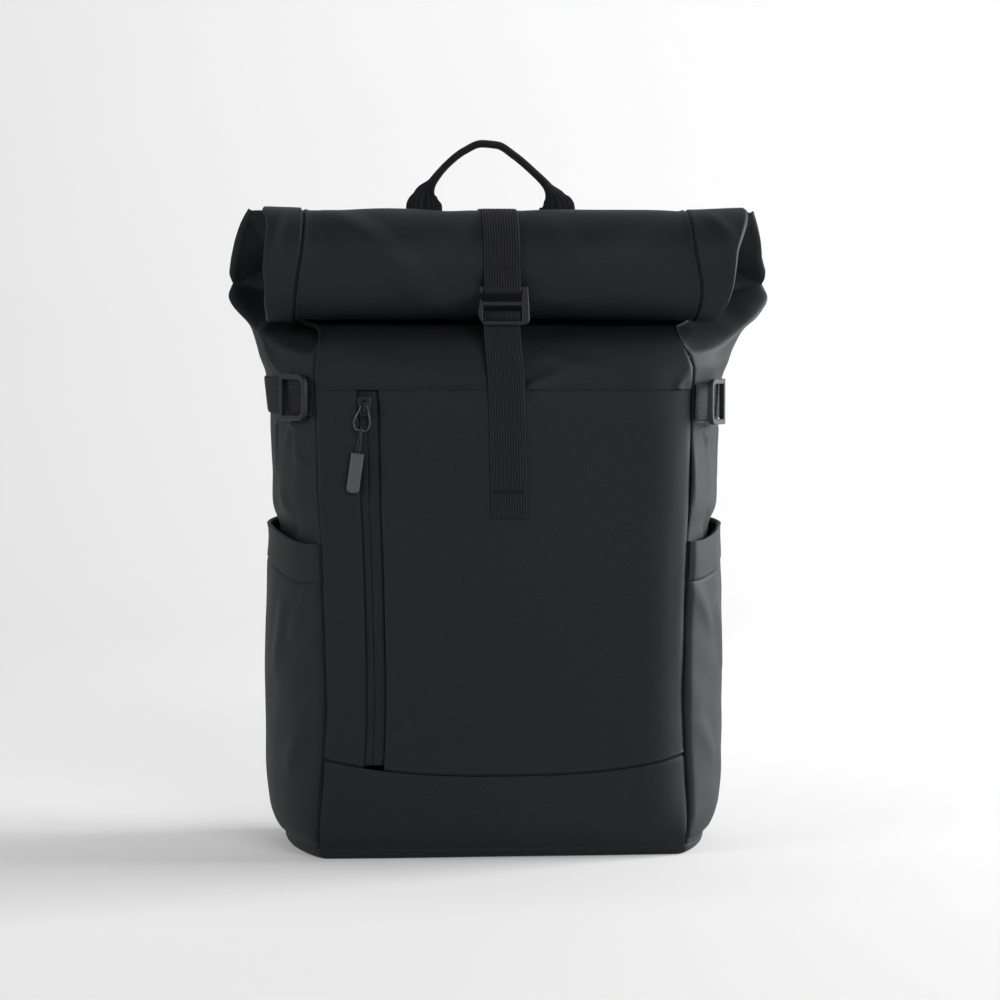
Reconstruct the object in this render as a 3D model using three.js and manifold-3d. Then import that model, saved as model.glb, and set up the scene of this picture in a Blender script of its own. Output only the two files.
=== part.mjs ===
// Rolltop backpack, sewn from coated cloth panels, standing on its base.
// Millimetres, +Z up, the front faces -Y and +X is the right side of a front view.
import * as THREE from 'three';
import { mergeVertices } from 'three/addons/utils/BufferGeometryUtils.js';
import Module from 'manifold-3d';

const wasm = await Module();
wasm.setup();

// Bag body
const bodyHeight = 441;         // the sewn body, unrolled part
const rollTopHeight = 445;      // top of the rolled closure over the floor
const bodyDepth = 150;          // front panel to back panel
const frontWidth = 252;         // seam to seam across the front
const backWidth = 284;          // seam to seam across the back
const gussetBulge = 28;         // how far a side wall swells past its two seams
const frontCrown = 4;           // how far the front swells in its middle
const backCrown = 2;
const clothWall = 2;            // a panel with its lining
const foldWall = 1.1;           // a panel in the folds behind the roll
const foldSetback = 1.6;        // cloth left off beside a seam, where it is folded sharply
const seamGap = 0.3;            // clearance between pieces that touch
const coverGap = 0.7;           // clearance under a piece that lies over curved cloth

// Front seams and zip
const yokeSeamHeight = 318;
const bottomSeamHeight = 55.5;  // at the middle of the front
const bottomSeamRise = 13;      // how much higher it meets the side seams
const zipCentre = -95;          // across the front
const zipOpeningLeft = 5.6;     // from the teeth to the strip on the left
const zipOpeningRight = 8;      // from the teeth to the front panel
const zipTapeWidth = 22;
const zipTapeWall = 1.2;
const zipTeethWidth = 6;
const zipTeethHeight = 1.6;

// Rolled closure
const closureLean = 4;          // it is rolled a little off centre, to the right
const rollHeight = 80;
const rollDepth = 80;
const rollTurns = 2.3;
const rollStartAngle = 66;      // degrees over the horizontal, at the back
const rollSheet = 5;            // double layer of cloth
const rollGap = 1.5;            // air between two turns
const rollWidthTop = 340;
const rollWidthLeftLow = 168;   // from the middle to the left end, at the roll's foot
const rollWidthRightLow = 147;
const rollEndLift = 3;          // the ends carry the folded side walls and are thicker
const rollEndWidth = 33;        // width of such an end

// Webbing and hook
const webbingWidth = 25;
const webbingWall = 1.6;
const strapCentre = -1;
const strapAnchorDrop = 61;     // from the roll top down to where the strap is sewn on the back
const hookHeight = 26;
const hookWall = 2.4;
const hookTopHeight = 389.5;
const hookBar = 3;              // width of the bars between the slots
const hookSideBar = 5;          // at the closed side of the slots
const hookTip = 3;              // at the open side
const hookUpperSlot = 7;
const hookGap = 3.2;            // open mouth of the upper slot
const hookPlay = 0.8;           // between webbing and a slot's end, each side
const hookLip = 1.5;            // how far the tip hangs over the mouth
const hookShoulder = 1;         // how far its ends lean in towards the top
const hookCorner = 4;
const hookBevel = 0.4;
const loopStitchHeight = 326;   // where the hook's webbing loop is sewn to the front
const loopTailHeight = 233;

// Side loops and bands
const sideBandHeight = 314.5;   // centre of the webbing on the side wall
const sideLoopHeight = 31.5;
const sideLoopReach = 31;       // along the side wall
const sideLoopWall = 3.6;
const sideLoopBar = 3.6;
const sideLoopCorner = 9;
const sideLoopBevel = 0.5;
const sideLoopStartLeft = 1;    // from the front seam to the loop
const sideLoopStartRight = 13;
const sideBandDrop = 3.5;       // the right band is sewn on lower than the left one

// Side pockets
const pocketMouthFront = 216;   // height of the mouth at the front seam
const pocketMouthBack = 228;
const pocketMouthGap = 6.8;     // room between mouth and side wall
const pocketWall = 1.6;
const pocketHemHeight = 28;
const pocketHemWall = 1;
const pocketFoot = 12;          // height of the pocket's lower edge

// Base
const baseInset = 7;            // from its rim to the flat of its bottom

// Handle
const handleRise = 46;          // over the roll top
const handleCentre = -4;
const handleSpan = 118;         // between the sewn ends
const handleDrop = 39;          // sewn ends below the roll top
const handleThick = 5;

// Back and shoulder straps
const backPadWall = 9;
const backPadTop = 326;
const backPadFoot = 42;
const backPadSide = 14;         // from the back's side seams to the pad
const shoulderStrapWidth = 62;
const shoulderStrapWall = 12;
const shoulderStrapTop = 344;
const shoulderStrapFoot = 78;
const shoulderStrapBow = 52;    // how far the strap bows away from the back
const shoulderStrapInner = 52;  // half the spacing at the top
const shoulderStrapOuter = 96;  // half the spacing at the foot
const adjusterWidth = 33;
const adjusterHeight = 28;
const adjusterWall = 4;
const adjusterBar = 3.4;
const adjusterUpperSlot = 6.5;
const adjusterOverlap = 7;      // how far the strap's foot reaches down before the buckle
const strapTabRise = 4.8;       // from the buckle's top edge to the ends of the tab's webbing
const baseAnchorHeight = 26;
const baseAnchorInset = 22;     // from the back's side seam

// Zip pull
const sliderLength = 14;
const sliderWidth = 9;
const sliderWall = 3.2;
const sliderTopDrop = 2;        // below the yoke seam
const wireGauge = 1.2;
const wireLoopLength = 17;
const wireLoopWidth = 11;
const bridgeRise = 2.6;         // room under the slider's bridge
const bridgeWall = 1;
const bridgeWidth = 2.2;
const bridgeSink = 0.4;         // the bridge is cast into the slider by this much
const sliderBevel = 0.5;
const cordDiameter = 1.1;
const cordReach = 15.5;         // from the wire loop to the tab
const tabLength = 27;
const tabWidth = 8.5;
const tabThick = 4.5;
const tabTilt = 8;              // degrees
const tabBevel = 0.8;

const hookSlot = webbingWidth + 2 * hookPlay;
const adjusterSlot = webbingWidth + 2 * hookPlay;
const halfDepth = bodyDepth / 2;
const halfFront = frontWidth / 2;
const halfBack = backWidth / 2;

// Levels from the base edge up to the closure. Heights are shares of bodyHeight, depths of
// half the bodyDepth, widths of half the frontWidth or backWidth, and bulge of gussetBulge. A
// negative bulge is the fold that the side wall makes behind the roll, under each ear.
const LEVEL_COLUMNS = ['frontUp', 'frontOut', 'frontHalf', 'backUp', 'backOut', 'backHalf', 'bulge'];
const LEVELS = [
  [0.016, -0.890, 1.000, 0.016, 0.880, 0.980, 0.54],
  [0.045, -0.960, 1.004, 0.045, 0.950, 1.004, 0.64],
  [0.125, -0.985, 0.985, 0.125, 0.970, 1.014, 0.74],
  [0.250, -1.010, 0.964, 0.250, 0.985, 1.014, 0.76],
  [0.400, -1.025, 0.976, 0.400, 0.985, 1.007, 0.69],
  [0.500, -1.010, 0.990, 0.500, 0.985, 1.000, 0.60],
  [0.550, -1.000, 1.000, 0.550, 0.985, 0.998, 0.78],
  [0.680, -0.975, 1.012, 0.680, 0.975, 1.005, 0.78],
  [0.748, -0.920, 1.024, 0.764, 0.933, 1.028, 0.82],
  [0.800, -0.790, 1.020, 0.832, 0.770, 1.110, 0.96],
  [0.822, -0.520, 1.070, 0.884, 0.613, 1.290, 0.98],
  [0.834, -0.180, 1.150, 0.910, 0.490, 1.335, -0.10],
  [0.870, 0.080, 1.220, 0.930, 0.350, 1.332, -0.22],
  [0.928, 0.070, 1.250, 0.953, 0.190, 1.315, -0.14],
  [0.966, -0.020, 1.250, 0.982, 0.060, 1.285, -0.07],
  [0.991, -0.185, 1.200, 1.005, -0.140, 1.245, -0.02],
];
const TOP_LEVEL = LEVELS.length - 1;
const SHELF_LEVEL = 9;          // where the yoke turns back under the roll

// Smooth curve through the values of one column, without overshoot between two rows.
function columnCurve(values) {
  const steps = values.slice(1).map((value, i) => value - values[i]);
  const slopes = values.map((value, i) => {
    const before = steps[Math.max(i - 1, 0)];
    const after = steps[Math.min(i, steps.length - 1)];
    return before * after <= 0 ? 0 : (2 * before * after) / (before + after);
  });
  return (level) => {
    const i = Math.min(Math.max(Math.floor(level), 0), values.length - 2);
    const t = level - i;
    const u = 1 - t;
    return u * u * (1 + 2 * t) * values[i] + t * t * (3 - 2 * t) * values[i + 1]
      + t * u * u * slopes[i] - t * t * u * slopes[i + 1];
  };
}

const column = {};
LEVEL_COLUMNS.forEach((name, i) => {
  column[name] = columnCurve(LEVELS.map((row) => row[i]));
});

// Seam between the front and a side wall, and between the back and a side wall.
const leanAt = (level) => closureLean
  * THREE.MathUtils.smoothstep(level, SHELF_LEVEL - 1.5, SHELF_LEVEL + 1);
const frontSeam = (side, level) => new THREE.Vector3(
  leanAt(level) + side * halfFront * column.frontHalf(level), halfDepth * column.frontOut(level),
  bodyHeight * column.frontUp(level));
const backSeam = (side, level) => new THREE.Vector3(
  leanAt(level) + side * halfBack * column.backHalf(level), halfDepth * column.backOut(level),
  bodyHeight * column.backUp(level));

const arch = (share) => 1 - (2 * share - 1) ** 2;

// Level at which a seam reaches a height, by halving.
function levelAtHeight(seam, height) {
  let [low, high] = [0, TOP_LEVEL];
  while (high - low > 1e-4) {
    const middle = (low + high) / 2;
    if (seam(1, middle).z < height) low = middle; else high = middle;
  }
  return low;
}

// The front and the back flatten where they run up behind the roll.
const flatness = (level) => THREE.MathUtils.smoothstep(SHELF_LEVEL - level, 0, 2);

function frontSurface(share, level) {
  const point = frontSeam(-1, level).lerp(frontSeam(1, level), share);
  point.y -= frontCrown * arch(share) * flatness(level);
  return point;
}

function backSurface(share, level) {
  const point = backSeam(-1, level).lerp(backSeam(1, level), share);
  point.y += backCrown * arch(share) * flatness(level);
  return point;
}

const gussetSurface = (side) => (share, level) => {
  const point = frontSeam(side, level).lerp(backSeam(side, level), share);
  point.x += side * gussetBulge * column.bulge(level) * arch(share) ** 0.8;
  return point;
};

// Outward normal of a surface at a place; facing is 1 or -1.
function surfaceNormal(surface, facing, share, level) {
  const step = 1e-3;
  const s = Math.min(Math.max(share, step), 1 - step);
  const h = Math.min(Math.max(level, step), TOP_LEVEL - step);
  const across = surface(s + step, h).sub(surface(s - step, h));
  const up = surface(s, h + step).sub(surface(s, h - step));
  return across.cross(up).normalize().multiplyScalar(facing);
}

const frontNormal = (share, level) => surfaceNormal(frontSurface, 1, share, level);
const backNormal = (share, level) => surfaceNormal(backSurface, -1, share, level);
const gussetNormal = (side) => (share, level) => (
  surfaceNormal(gussetSurface(side), side, share, level));

// Body from a triangle list over shared points.
function solidFrom(points, faces) {
  const geometry = new THREE.BufferGeometry();
  const values = points.flatMap((point) => [point.x, point.y, point.z]);
  geometry.setAttribute('position', new THREE.Float32BufferAttribute(values, 3));
  geometry.setIndex(faces.flat());
  return geometry;
}

// Turns every face round when the enclosed volume comes out negative.
function facingOut(geometry) {
  const position = geometry.getAttribute('position');
  const index = geometry.getIndex();
  const [a, b, c] = [new THREE.Vector3(), new THREE.Vector3(), new THREE.Vector3()];
  let volume = 0;
  for (let i = 0; i < index.count; i += 3) {
    a.fromBufferAttribute(position, index.getX(i));
    b.fromBufferAttribute(position, index.getX(i + 1));
    c.fromBufferAttribute(position, index.getX(i + 2));
    volume += a.dot(b.cross(c));
  }
  if (volume < 0) {
    for (let i = 0; i < index.count; i += 3) {
      const first = index.getX(i);
      index.setX(i, index.getX(i + 2));
      index.setX(i + 2, first);
    }
  }
  return geometry;
}

// Closed sheet between an outer and an inner grid of points with the same rows and columns.
function sheetBetween(outer, inner) {
  const rows = outer.length;
  const cols = outer[0].length;
  const points = [...outer.flat(), ...inner.flat()];
  const out = (r, c) => r * cols + c;
  const inn = (r, c) => rows * cols + r * cols + c;
  const faces = [];
  const quad = (a, b, c, d) => faces.push([a, b, c], [a, c, d]);
  for (let r = 0; r < rows - 1; r += 1) {
    for (let c = 0; c < cols - 1; c += 1) {
      quad(out(r, c), out(r, c + 1), out(r + 1, c + 1), out(r + 1, c));
      quad(inn(r, c), inn(r + 1, c), inn(r + 1, c + 1), inn(r, c + 1));
    }
    quad(out(r, 0), out(r + 1, 0), inn(r + 1, 0), inn(r, 0));
    quad(out(r + 1, cols - 1), out(r, cols - 1), inn(r, cols - 1), inn(r + 1, cols - 1));
  }
  for (let c = 0; c < cols - 1; c += 1) {
    quad(out(0, c + 1), out(0, c), inn(0, c), inn(0, c + 1));
    quad(out(rows - 1, c), out(rows - 1, c + 1), inn(rows - 1, c + 1), inn(rows - 1, c));
  }
  return facingOut(solidFrom(points, faces));
}

// Closed loft through rings of the same number of points, capped at both ends.
function loftThrough(rings, capFaces) {
  const size = rings[0].length;
  const points = rings.flat();
  const faces = [];
  for (let r = 0; r < rings.length - 1; r += 1) {
    for (let k = 0; k < size; k += 1) {
      const next = (k + 1) % size;
      const [a, b] = [r * size + k, r * size + next];
      faces.push([a, b, b + size], [a, b + size, a + size]);
    }
  }
  const cap = capFaces ?? Array.from({ length: size - 2 }, (_, k) => [0, k + 1, k + 2]);
  const last = (rings.length - 1) * size;
  cap.forEach(([a, b, c]) => {
    faces.push([c, b, a], [a + last, b + last, c + last]);
  });
  return facingOut(solidFrom(points, faces));
}

// The lining stops at the shelf, so the cloth is thinner in the folds behind the roll.
const wallAt = (level) => THREE.MathUtils.lerp(clothWall, foldWall,
  THREE.MathUtils.smoothstep(level, SHELF_LEVEL - 1, SHELF_LEVEL + 0.5));

// Shares at which a panel starts and ends beside its seams, outside and inside the cloth. The
// cloth is mitred, so that two panels meet on the plane that halves the angle between them.
function seamInset(surface, neighbour, level, end, neighbourEnd) {
  const step = 0.02;
  const inward = (s) => (s === 0 ? step : -step);
  const corner = surface(end, level);
  const along = surface(end + inward(end), level).sub(corner);
  const beside = neighbour(neighbourEnd + inward(neighbourEnd), level).sub(corner);
  const width = along.length() / step;
  const half = Math.max(along.angleTo(beside) / 2, 0.16);
  const folded = foldSetback * THREE.MathUtils.smoothstep(level, SHELF_LEVEL, SHELF_LEVEL + 1);
  const outside = seamGap / 2 / Math.sin(half) + folded;
  const inside = outside + wallAt(level) / Math.tan(half) + folded;
  return { outside: outside / width, inside: Math.min(inside / width, 0.34) };
}

// A cloth panel. reach gives the lowest and highest level at a share, edges the first and last
// share at a level for the outer and the inner face.
function clothPanel({ surface, normal, cols, levels, reach, edges }) {
  const grid = (face) => levels.map((v) => (
    Array.from({ length: cols + 1 }, (_, c) => {
      const nominal = c / cols;
      const [low, high] = reach(nominal);
      const level = THREE.MathUtils.lerp(low, high, v);
      const [first, last] = edges(level)[face];
      const share = THREE.MathUtils.lerp(first, last, nominal);
      const lift = face === 'inside' ? -wallAt(level) : 0;
      return surface(share, level).addScaledVector(normal(share, level), lift);
    })));
  return sheetBetween(grid('outside'), grid('inside'));
}

const evenly = (count) => Array.from({ length: count + 1 }, (_, i) => i / count);

// Rows that the walls share along their seams.
function wallRows(low) {
  const rows = [low];
  const fine = 6;
  for (let level = Math.floor(low) + 1; level < fine; level += 1) rows.push(level);
  const start = Math.max(fine, Math.ceil(low * 2 + 0.3) / 2);
  for (let level = start; level <= TOP_LEVEL; level += 0.5) rows.push(level);
  return rows.map((level) => (level - low) / (TOP_LEVEL - low));
}

// A gap beside a seam as a step in level, at a surface's middle.
function levelGap(surface, level) {
  const step = 0.05;
  const rise = surface(0.5, Math.min(level + step, TOP_LEVEL)).distanceTo(surface(0.5, level - step));
  return (seamGap / 2) * (2 * step / rise);
}

const cloth = { color: 0x26282a, roughness: 0.62, metalness: 0 };
const webbing = { color: 0x1e2023, roughness: 0.8, metalness: 0 };
const plastic = { color: 0x3a3b3c, roughness: 0.4, metalness: 0 };
const metal = { color: 0x242628, roughness: 0.35, metalness: 1 };
const tabRubber = { color: 0x58595a, roughness: 0.6, metalness: 0 };

const bag = new THREE.Group();
function addPiece(name, geometry, finish) {
  const mesh = new THREE.Mesh(geometry, new THREE.MeshStandardMaterial(finish));
  mesh.name = name;
  bag.add(mesh);
  return mesh;
}

// Levels of the seams across the front, at a share of the front's width.
const yokeLevel = levelAtHeight(frontSeam, yokeSeamHeight);
const baseLevel = levelGap(frontSurface, 0.1);
const bottomSeamLevel = (share) => {
  const rise = bottomSeamRise * Math.abs(2 * share - 1) ** 2.6;
  return levelAtHeight(frontSeam, bottomSeamHeight + rise);
};

// The front's edges at the side seams, with a free inner edge where a cut is given.
function frontEdges(level, cutFirst, cutLast) {
  const left = seamInset(frontSurface, gussetSurface(-1), level, 0, 0);
  const right = seamInset(frontSurface, gussetSurface(1), level, 1, 0);
  const edge = (face) => [cutFirst ?? left[face], cutLast ?? 1 - right[face]];
  return { outside: edge('outside'), inside: edge('inside') };
}

const shareAcrossFront = (x) => 0.5 + x / (2 * frontSeam(1, yokeLevel).x);
const zipFirst = shareAcrossFront(zipCentre - zipOpeningLeft);
const zipLast = shareAcrossFront(zipCentre + zipOpeningRight);

function buildFront() {
  const seam = levelGap(frontSurface, yokeLevel);
  const bottom = (share) => bottomSeamLevel(share) + levelGap(frontSurface, 2);
  const over = (first, last) => (nominal) => [
    bottom(THREE.MathUtils.lerp(first, last, nominal)), yokeLevel - seam];
  const panel = (name, cols, levels, reach, edges) => addPiece(name, clothPanel({
    surface: frontSurface, normal: frontNormal, cols, levels, reach, edges,
  }), cloth);
  panel('front_panel', 9, evenly(7), over(zipLast, 1), (level) => frontEdges(level, zipLast));
  panel('zip_side_strip', 2, evenly(7), over(0, zipFirst),
    (level) => frontEdges(level, undefined, zipFirst));
  panel('front_base_panel', 12, evenly(3),
    (share) => [baseLevel, bottomSeamLevel(share) - levelGap(frontSurface, 2)],
    (level) => frontEdges(level));
  const low = yokeLevel + seam;
  panel('yoke_panel', 10, wallRows(low), () => [low, TOP_LEVEL], (level) => frontEdges(level));
}

function buildBack() {
  const edges = (level) => {
    const left = seamInset(backSurface, gussetSurface(-1), level, 0, 1);
    const right = seamInset(backSurface, gussetSurface(1), level, 1, 1);
    return {
      outside: [left.outside, 1 - right.outside],
      inside: [left.inside, 1 - right.inside],
    };
  };
  addPiece('back_panel', clothPanel({
    surface: backSurface, normal: backNormal, cols: 8, levels: wallRows(baseLevel),
    reach: () => [baseLevel, TOP_LEVEL], edges,
  }), cloth);
}

function buildGusset(side, name) {
  const surface = gussetSurface(side);
  const edges = (level) => {
    const front = seamInset(surface, frontSurface, level, 0, side < 0 ? 0 : 1);
    const back = seamInset(surface, backSurface, level, 1, side < 0 ? 0 : 1);
    return {
      outside: [front.outside, 1 - back.outside],
      inside: [front.inside, 1 - back.inside],
    };
  };
  addPiece(name, clothPanel({
    surface, normal: gussetNormal(side), cols: 8, levels: wallRows(baseLevel),
    reach: () => [baseLevel, TOP_LEVEL], edges,
  }), cloth);
}

// The base is a shallow tray: its rim stands under the walls and curves in to the flat bottom.
function buildBase() {
  const perSide = { front: 12, side: 8 };
  const rim = [];
  const walk = (surface, count, from, to) => {
    for (let k = 0; k < count; k += 1) {
      rim.push(surface(THREE.MathUtils.lerp(from, to, k / count), 0));
    }
  };
  walk(frontSurface, perSide.front, 0, 1);
  walk(gussetSurface(1), perSide.side, 0, 1);
  walk(backSurface, perSide.front, 1, 0);
  walk(gussetSurface(-1), perSide.side, 1, 0);
  const rimHeight = rim[0].z - seamGap / 2;
  const ring = (inset, height) => rim.map((point) => {
    const reach = Math.hypot(point.x, point.y);
    const scale = (reach - inset) / reach;
    return new THREE.Vector3(point.x * scale, point.y * scale, height);
  });
  const bottom = [
    [0, rimHeight], [baseInset * 0.08, rimHeight * 0.45], [baseInset * 0.34, rimHeight * 0.12],
    [baseInset, 0], [baseInset * 3, 0],
  ];
  const outer = bottom.map(([inset, height]) => ring(inset, height));
  const inner = [
    ring(clothWall, rimHeight), ring(baseInset, clothWall * 1.2), ring(baseInset * 3, clothWall),
  ].reverse();
  addPiece('base_panel', closedRings([...outer, ...inner]), cloth);
}

// Body that closes on an axis: rings from the outer rim, down, across and back up inside, with
// the disc at the first and the last change of side closed by a fan to the middle.
function closedRings(rings) {
  const size = rings[0].length;
  const points = rings.flat();
  const faces = [];
  const turn = rings.findIndex((ring, i) => i > 0 && ring[0].z > 0 && rings[i - 1][0].z === 0);
  const band = (from, to) => {
    for (let k = 0; k < size; k += 1) {
      const next = (k + 1) % size;
      faces.push([from * size + k, from * size + next, to * size + next]);
      faces.push([from * size + k, to * size + next, to * size + k]);
    }
  };
  for (let r = 0; r < rings.length - 1; r += 1) {
    if (r + 1 !== turn) band(r, r + 1);
  }
  band(rings.length - 1, 0);
  const fan = (ringIndex, flip) => {
    const centre = points.length;
    const height = rings[ringIndex][0].z;
    points.push(new THREE.Vector3(0, 0, height));
    for (let k = 0; k < size; k += 1) {
      const [a, b] = [ringIndex * size + k, ringIndex * size + ((k + 1) % size)];
      faces.push(flip ? [b, a, centre] : [a, b, centre]);
    }
  };
  fan(turn - 1, false);
  fan(turn, true);
  return facingOut(solidFrom(points, faces));
}

// Rolled closure: a spiral of the doubled cloth, wound forward from the top of the back.
const rollCentre = { y: -0.43 * halfDepth, z: rollTopHeight - rollHeight / 2 };
const rollStart = THREE.MathUtils.degToRad(rollStartAngle);

// Point of the roll's section: turns counts from the start over the top to the front, and depth
// is measured inward from the outer face.
function rollSection(turns, depth) {
  const angle = rollStart + turns * 2 * Math.PI;
  const pulled = turns * (rollSheet + rollGap) + depth;
  return {
    y: rollCentre.y + (rollDepth / 2 - pulled) * Math.cos(angle),
    z: rollCentre.z + (rollHeight / 2 - pulled) * Math.sin(angle),
  };
}

// The ends are thicker and the middle hangs a little.
function rollLift(x) {
  const reach = Math.abs(x - closureLean);
  const start = rollWidthTop / 2 - rollEndWidth;
  return rollEndLift * (THREE.MathUtils.smoothstep(reach, start - 8, start + 4) - 0.35);
}

function rollEnd(side, z) {
  const share = THREE.MathUtils.clamp((rollTopHeight - z) / rollHeight, 0, 1);
  const low = side < 0 ? rollWidthLeftLow : rollWidthRightLow;
  return closureLean + side * THREE.MathUtils.lerp(rollWidthTop / 2, low, share);
}

function buildRoll() {
  const steps = Math.round(rollTurns * 15);
  const along = Array.from({ length: steps + 1 }, (_, i) => (rollTurns * i) / steps);
  const outline = [
    ...along.map((turns) => rollSection(turns, 0)),
    ...along.reverse().map((turns) => rollSection(turns, rollSheet)),
  ];
  const stations = [0, 0.06, 0.11, 0.14, 0.3, 0.5, 0.7, 0.86, 0.89, 0.94, 1];
  const rings = stations.map((share) => outline.map(({ y, z }) => {
    const x = THREE.MathUtils.lerp(rollEnd(-1, z), rollEnd(1, z), share);
    const grip = THREE.MathUtils.clamp((z - rollCentre.z) / (rollHeight / 2), 0, 1);
    return new THREE.Vector3(x, y, z + rollLift(x) * grip);
  }));
  const flat = outline.map(({ y, z }) => new THREE.Vector2(y, z));
  const cap = THREE.ShapeUtils.triangulateShape(flat, []);
  addPiece('rolled_closure', loftThrough(rings, cap), cloth);
}

// A band of webbing along a path of stations, each with its middle, its half width across and
// its outward normal; the band lies outward of the middle by its thickness.
function webbingBand(stations, width = webbingWidth, wall = webbingWall) {
  const rings = stations.map(({ middle, across, outward }) => {
    const corner = (a, o) => middle.clone().addScaledVector(across, (a * width) / 2)
      .addScaledVector(outward, o * wall);
    return [corner(-1, 0), corner(1, 0), corner(1, 1), corner(-1, 1)];
  });
  return loftThrough(rings);
}

const acrossX = new THREE.Vector3(1, 0, 0);
const station = (x, y, z, outY, outZ) => ({
  middle: new THREE.Vector3(x, y, z),
  across: acrossX,
  outward: new THREE.Vector3(0, outY, outZ).normalize(),
});

const hookFoot = hookTopHeight - hookHeight;

// The hook lies in front of the roll, or of the yoke where that stands out further.
const rollFront = rollCentre.y - rollDepth / 2;
const yokeFront = frontSurface(0.5, levelAtHeight(frontSeam, hookFoot)).y - 2 * webbingWall;
const hookFace = Math.min(rollFront, yokeFront) - seamGap - webbingWall / 2 + hookWall / 2;

// Half turn of a band round a bar: from in front of it, below or above it, to behind it.
function foldRound(x, y, z, radius, upward) {
  const turns = [0, 0.25, 0.5, 0.75, 1];
  return turns.map((share) => {
    const angle = share * Math.PI;
    const [outY, outZ] = [-Math.cos(angle), (upward ? 1 : -1) * Math.sin(angle)];
    return station(x, y + outY * radius, z + outZ * radius, outY, outZ);
  });
}

function buildClosureStrap() {
  const anchor = levelAtHeight(backSeam, rollTopHeight - strapAnchorDrop);
  const stations = [];
  const levels = [anchor];
  for (let level = Math.ceil(anchor * 2 + 0.4) / 2; level <= TOP_LEVEL; level += 0.5) levels.push(level);
  levels.forEach((level) => {
    const out = backNormal(0.5, level);
    const point = backSurface(0.5, level).addScaledVector(out, coverGap);
    stations.push(station(strapCentre, point.y, point.z, out.y, out.z));
  });
  const frontTurn = (180 - rollStartAngle) / 360;
  for (let i = 0; i <= 9; i += 1) {
    const turns = THREE.MathUtils.lerp(0.03, frontTurn, i / 9);
    const point = rollSection(turns, -seamGap);
    const angle = rollStart + turns * 2 * Math.PI;
    const grip = Math.max(Math.sin(angle), 0);
    stations.push(station(strapCentre, point.y, point.z + rollLift(strapCentre) * grip + grip,
      Math.cos(angle), Math.sin(angle)));
  }
  const barMiddle = hookTopHeight - hookBar / 2;
  const radius = Math.hypot(hookWall, hookBar) / 2 + seamGap;
  stations.push(...foldRound(strapCentre, hookFace, barMiddle, radius, false));
  const stitch = rollCentre.z;
  stations.push(station(strapCentre, hookFace + radius, stitch - 9, 1, 0));
  addPiece('closure_strap', webbingBand(stations), webbing);
}

// Flat hook: an upper slot for the strap, open at its left side, and a lower slot for the loop.
function buildHook() {
  const [left, right] = [-hookSlot / 2 - hookTip, hookSlot / 2 + hookSideBar];
  const corner = hookCorner;
  const upperTop = hookHeight - hookBar;
  const upperFoot = upperTop - hookUpperSlot;
  const shape = new THREE.Shape();
  shape.moveTo(left + corner, 0);
  shape.lineTo(right - corner, 0);
  shape.quadraticCurveTo(right, 0, right, corner);
  shape.lineTo(right - hookShoulder, hookHeight);
  shape.lineTo(left + hookShoulder, hookHeight);
  shape.lineTo(left + hookShoulder, upperTop - hookLip);
  shape.lineTo(left + hookTip, upperTop - hookLip);
  shape.lineTo(left + hookTip, upperTop);
  shape.lineTo(right - hookSideBar, upperTop);
  shape.lineTo(right - hookSideBar, upperFoot);
  shape.lineTo(left + hookTip, upperFoot);
  shape.lineTo(left + hookShoulder, upperTop - hookLip - hookGap);
  shape.lineTo(left, corner * 2);
  shape.quadraticCurveTo(left, corner, left + corner, 0);
  const slot = new THREE.Path();
  slot.moveTo(left + hookTip, hookBar);
  slot.lineTo(left + hookTip, upperFoot - hookBar);
  slot.lineTo(right - hookSideBar, upperFoot - hookBar);
  slot.lineTo(right - hookSideBar, hookBar);
  slot.closePath();
  shape.holes.push(slot);
  const geometry = new THREE.ExtrudeGeometry(shape, {
    depth: hookWall - 2 * hookBevel, bevelEnabled: true, bevelThickness: hookBevel,
    bevelSize: hookBevel, bevelOffset: -hookBevel, bevelSegments: 1, curveSegments: 5,
  });
  geometry.translate(0, 0, hookBevel - hookWall / 2);
  const mesh = addPiece('hook', geometry, metal);
  mesh.rotation.x = Math.PI / 2;
  mesh.position.set(strapCentre, hookFace, hookFoot);
}

// Doubled webbing from behind the hook's slot down to its stitch on the front, and one layer on.
function buildLoopStrap() {
  const lift = seamGap;
  const onFront = (z, extra) => {
    const level = levelAtHeight(frontSeam, z);
    const out = frontNormal(0.5, level);
    const point = frontSurface(0.5, level).addScaledVector(out, lift + extra);
    return station(strapCentre + (rollTopHeight - z) * 0.02, point.y, point.z, out.y, out.z);
  };
  const behindHook = hookFace + hookWall / 2 + seamGap;
  const layers = webbingWall + seamGap;
  const foldHeight = hookFoot + hookBar + hookHeight * 0.2;
  const rear = onFront(loopStitchHeight + 2, webbingWall);
  rear.outward.negate();
  const stations = [rear];
  const foldMiddle = behindHook + webbingWall + layers / 2;
  const radius = seamGap;
  const turn = foldRound(strapCentre, foldMiddle, foldHeight, radius, true).reverse();
  stations.push(...turn);
  stations.push(station(strapCentre, behindHook + webbingWall, hookFoot - 4, -1, 0.1));
  evenly(4).forEach((share) => {
    const z = THREE.MathUtils.lerp(loopStitchHeight, loopTailHeight, share);
    stations.push(onFront(z, share === 0 ? layers : 0));
  });
  addPiece('hook_loop_strap', webbingBand(stations), webbing);
}

// Side band and loop on a gusset, and the open pocket below them.
function onGusset(side, share, z, lift) {
  const level = levelAtHeight(frontSeam, z);
  const surface = gussetSurface(side);
  const out = gussetNormal(side)(share, level);
  return { point: surface(share, level).addScaledVector(out, lift), out };
}

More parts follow.
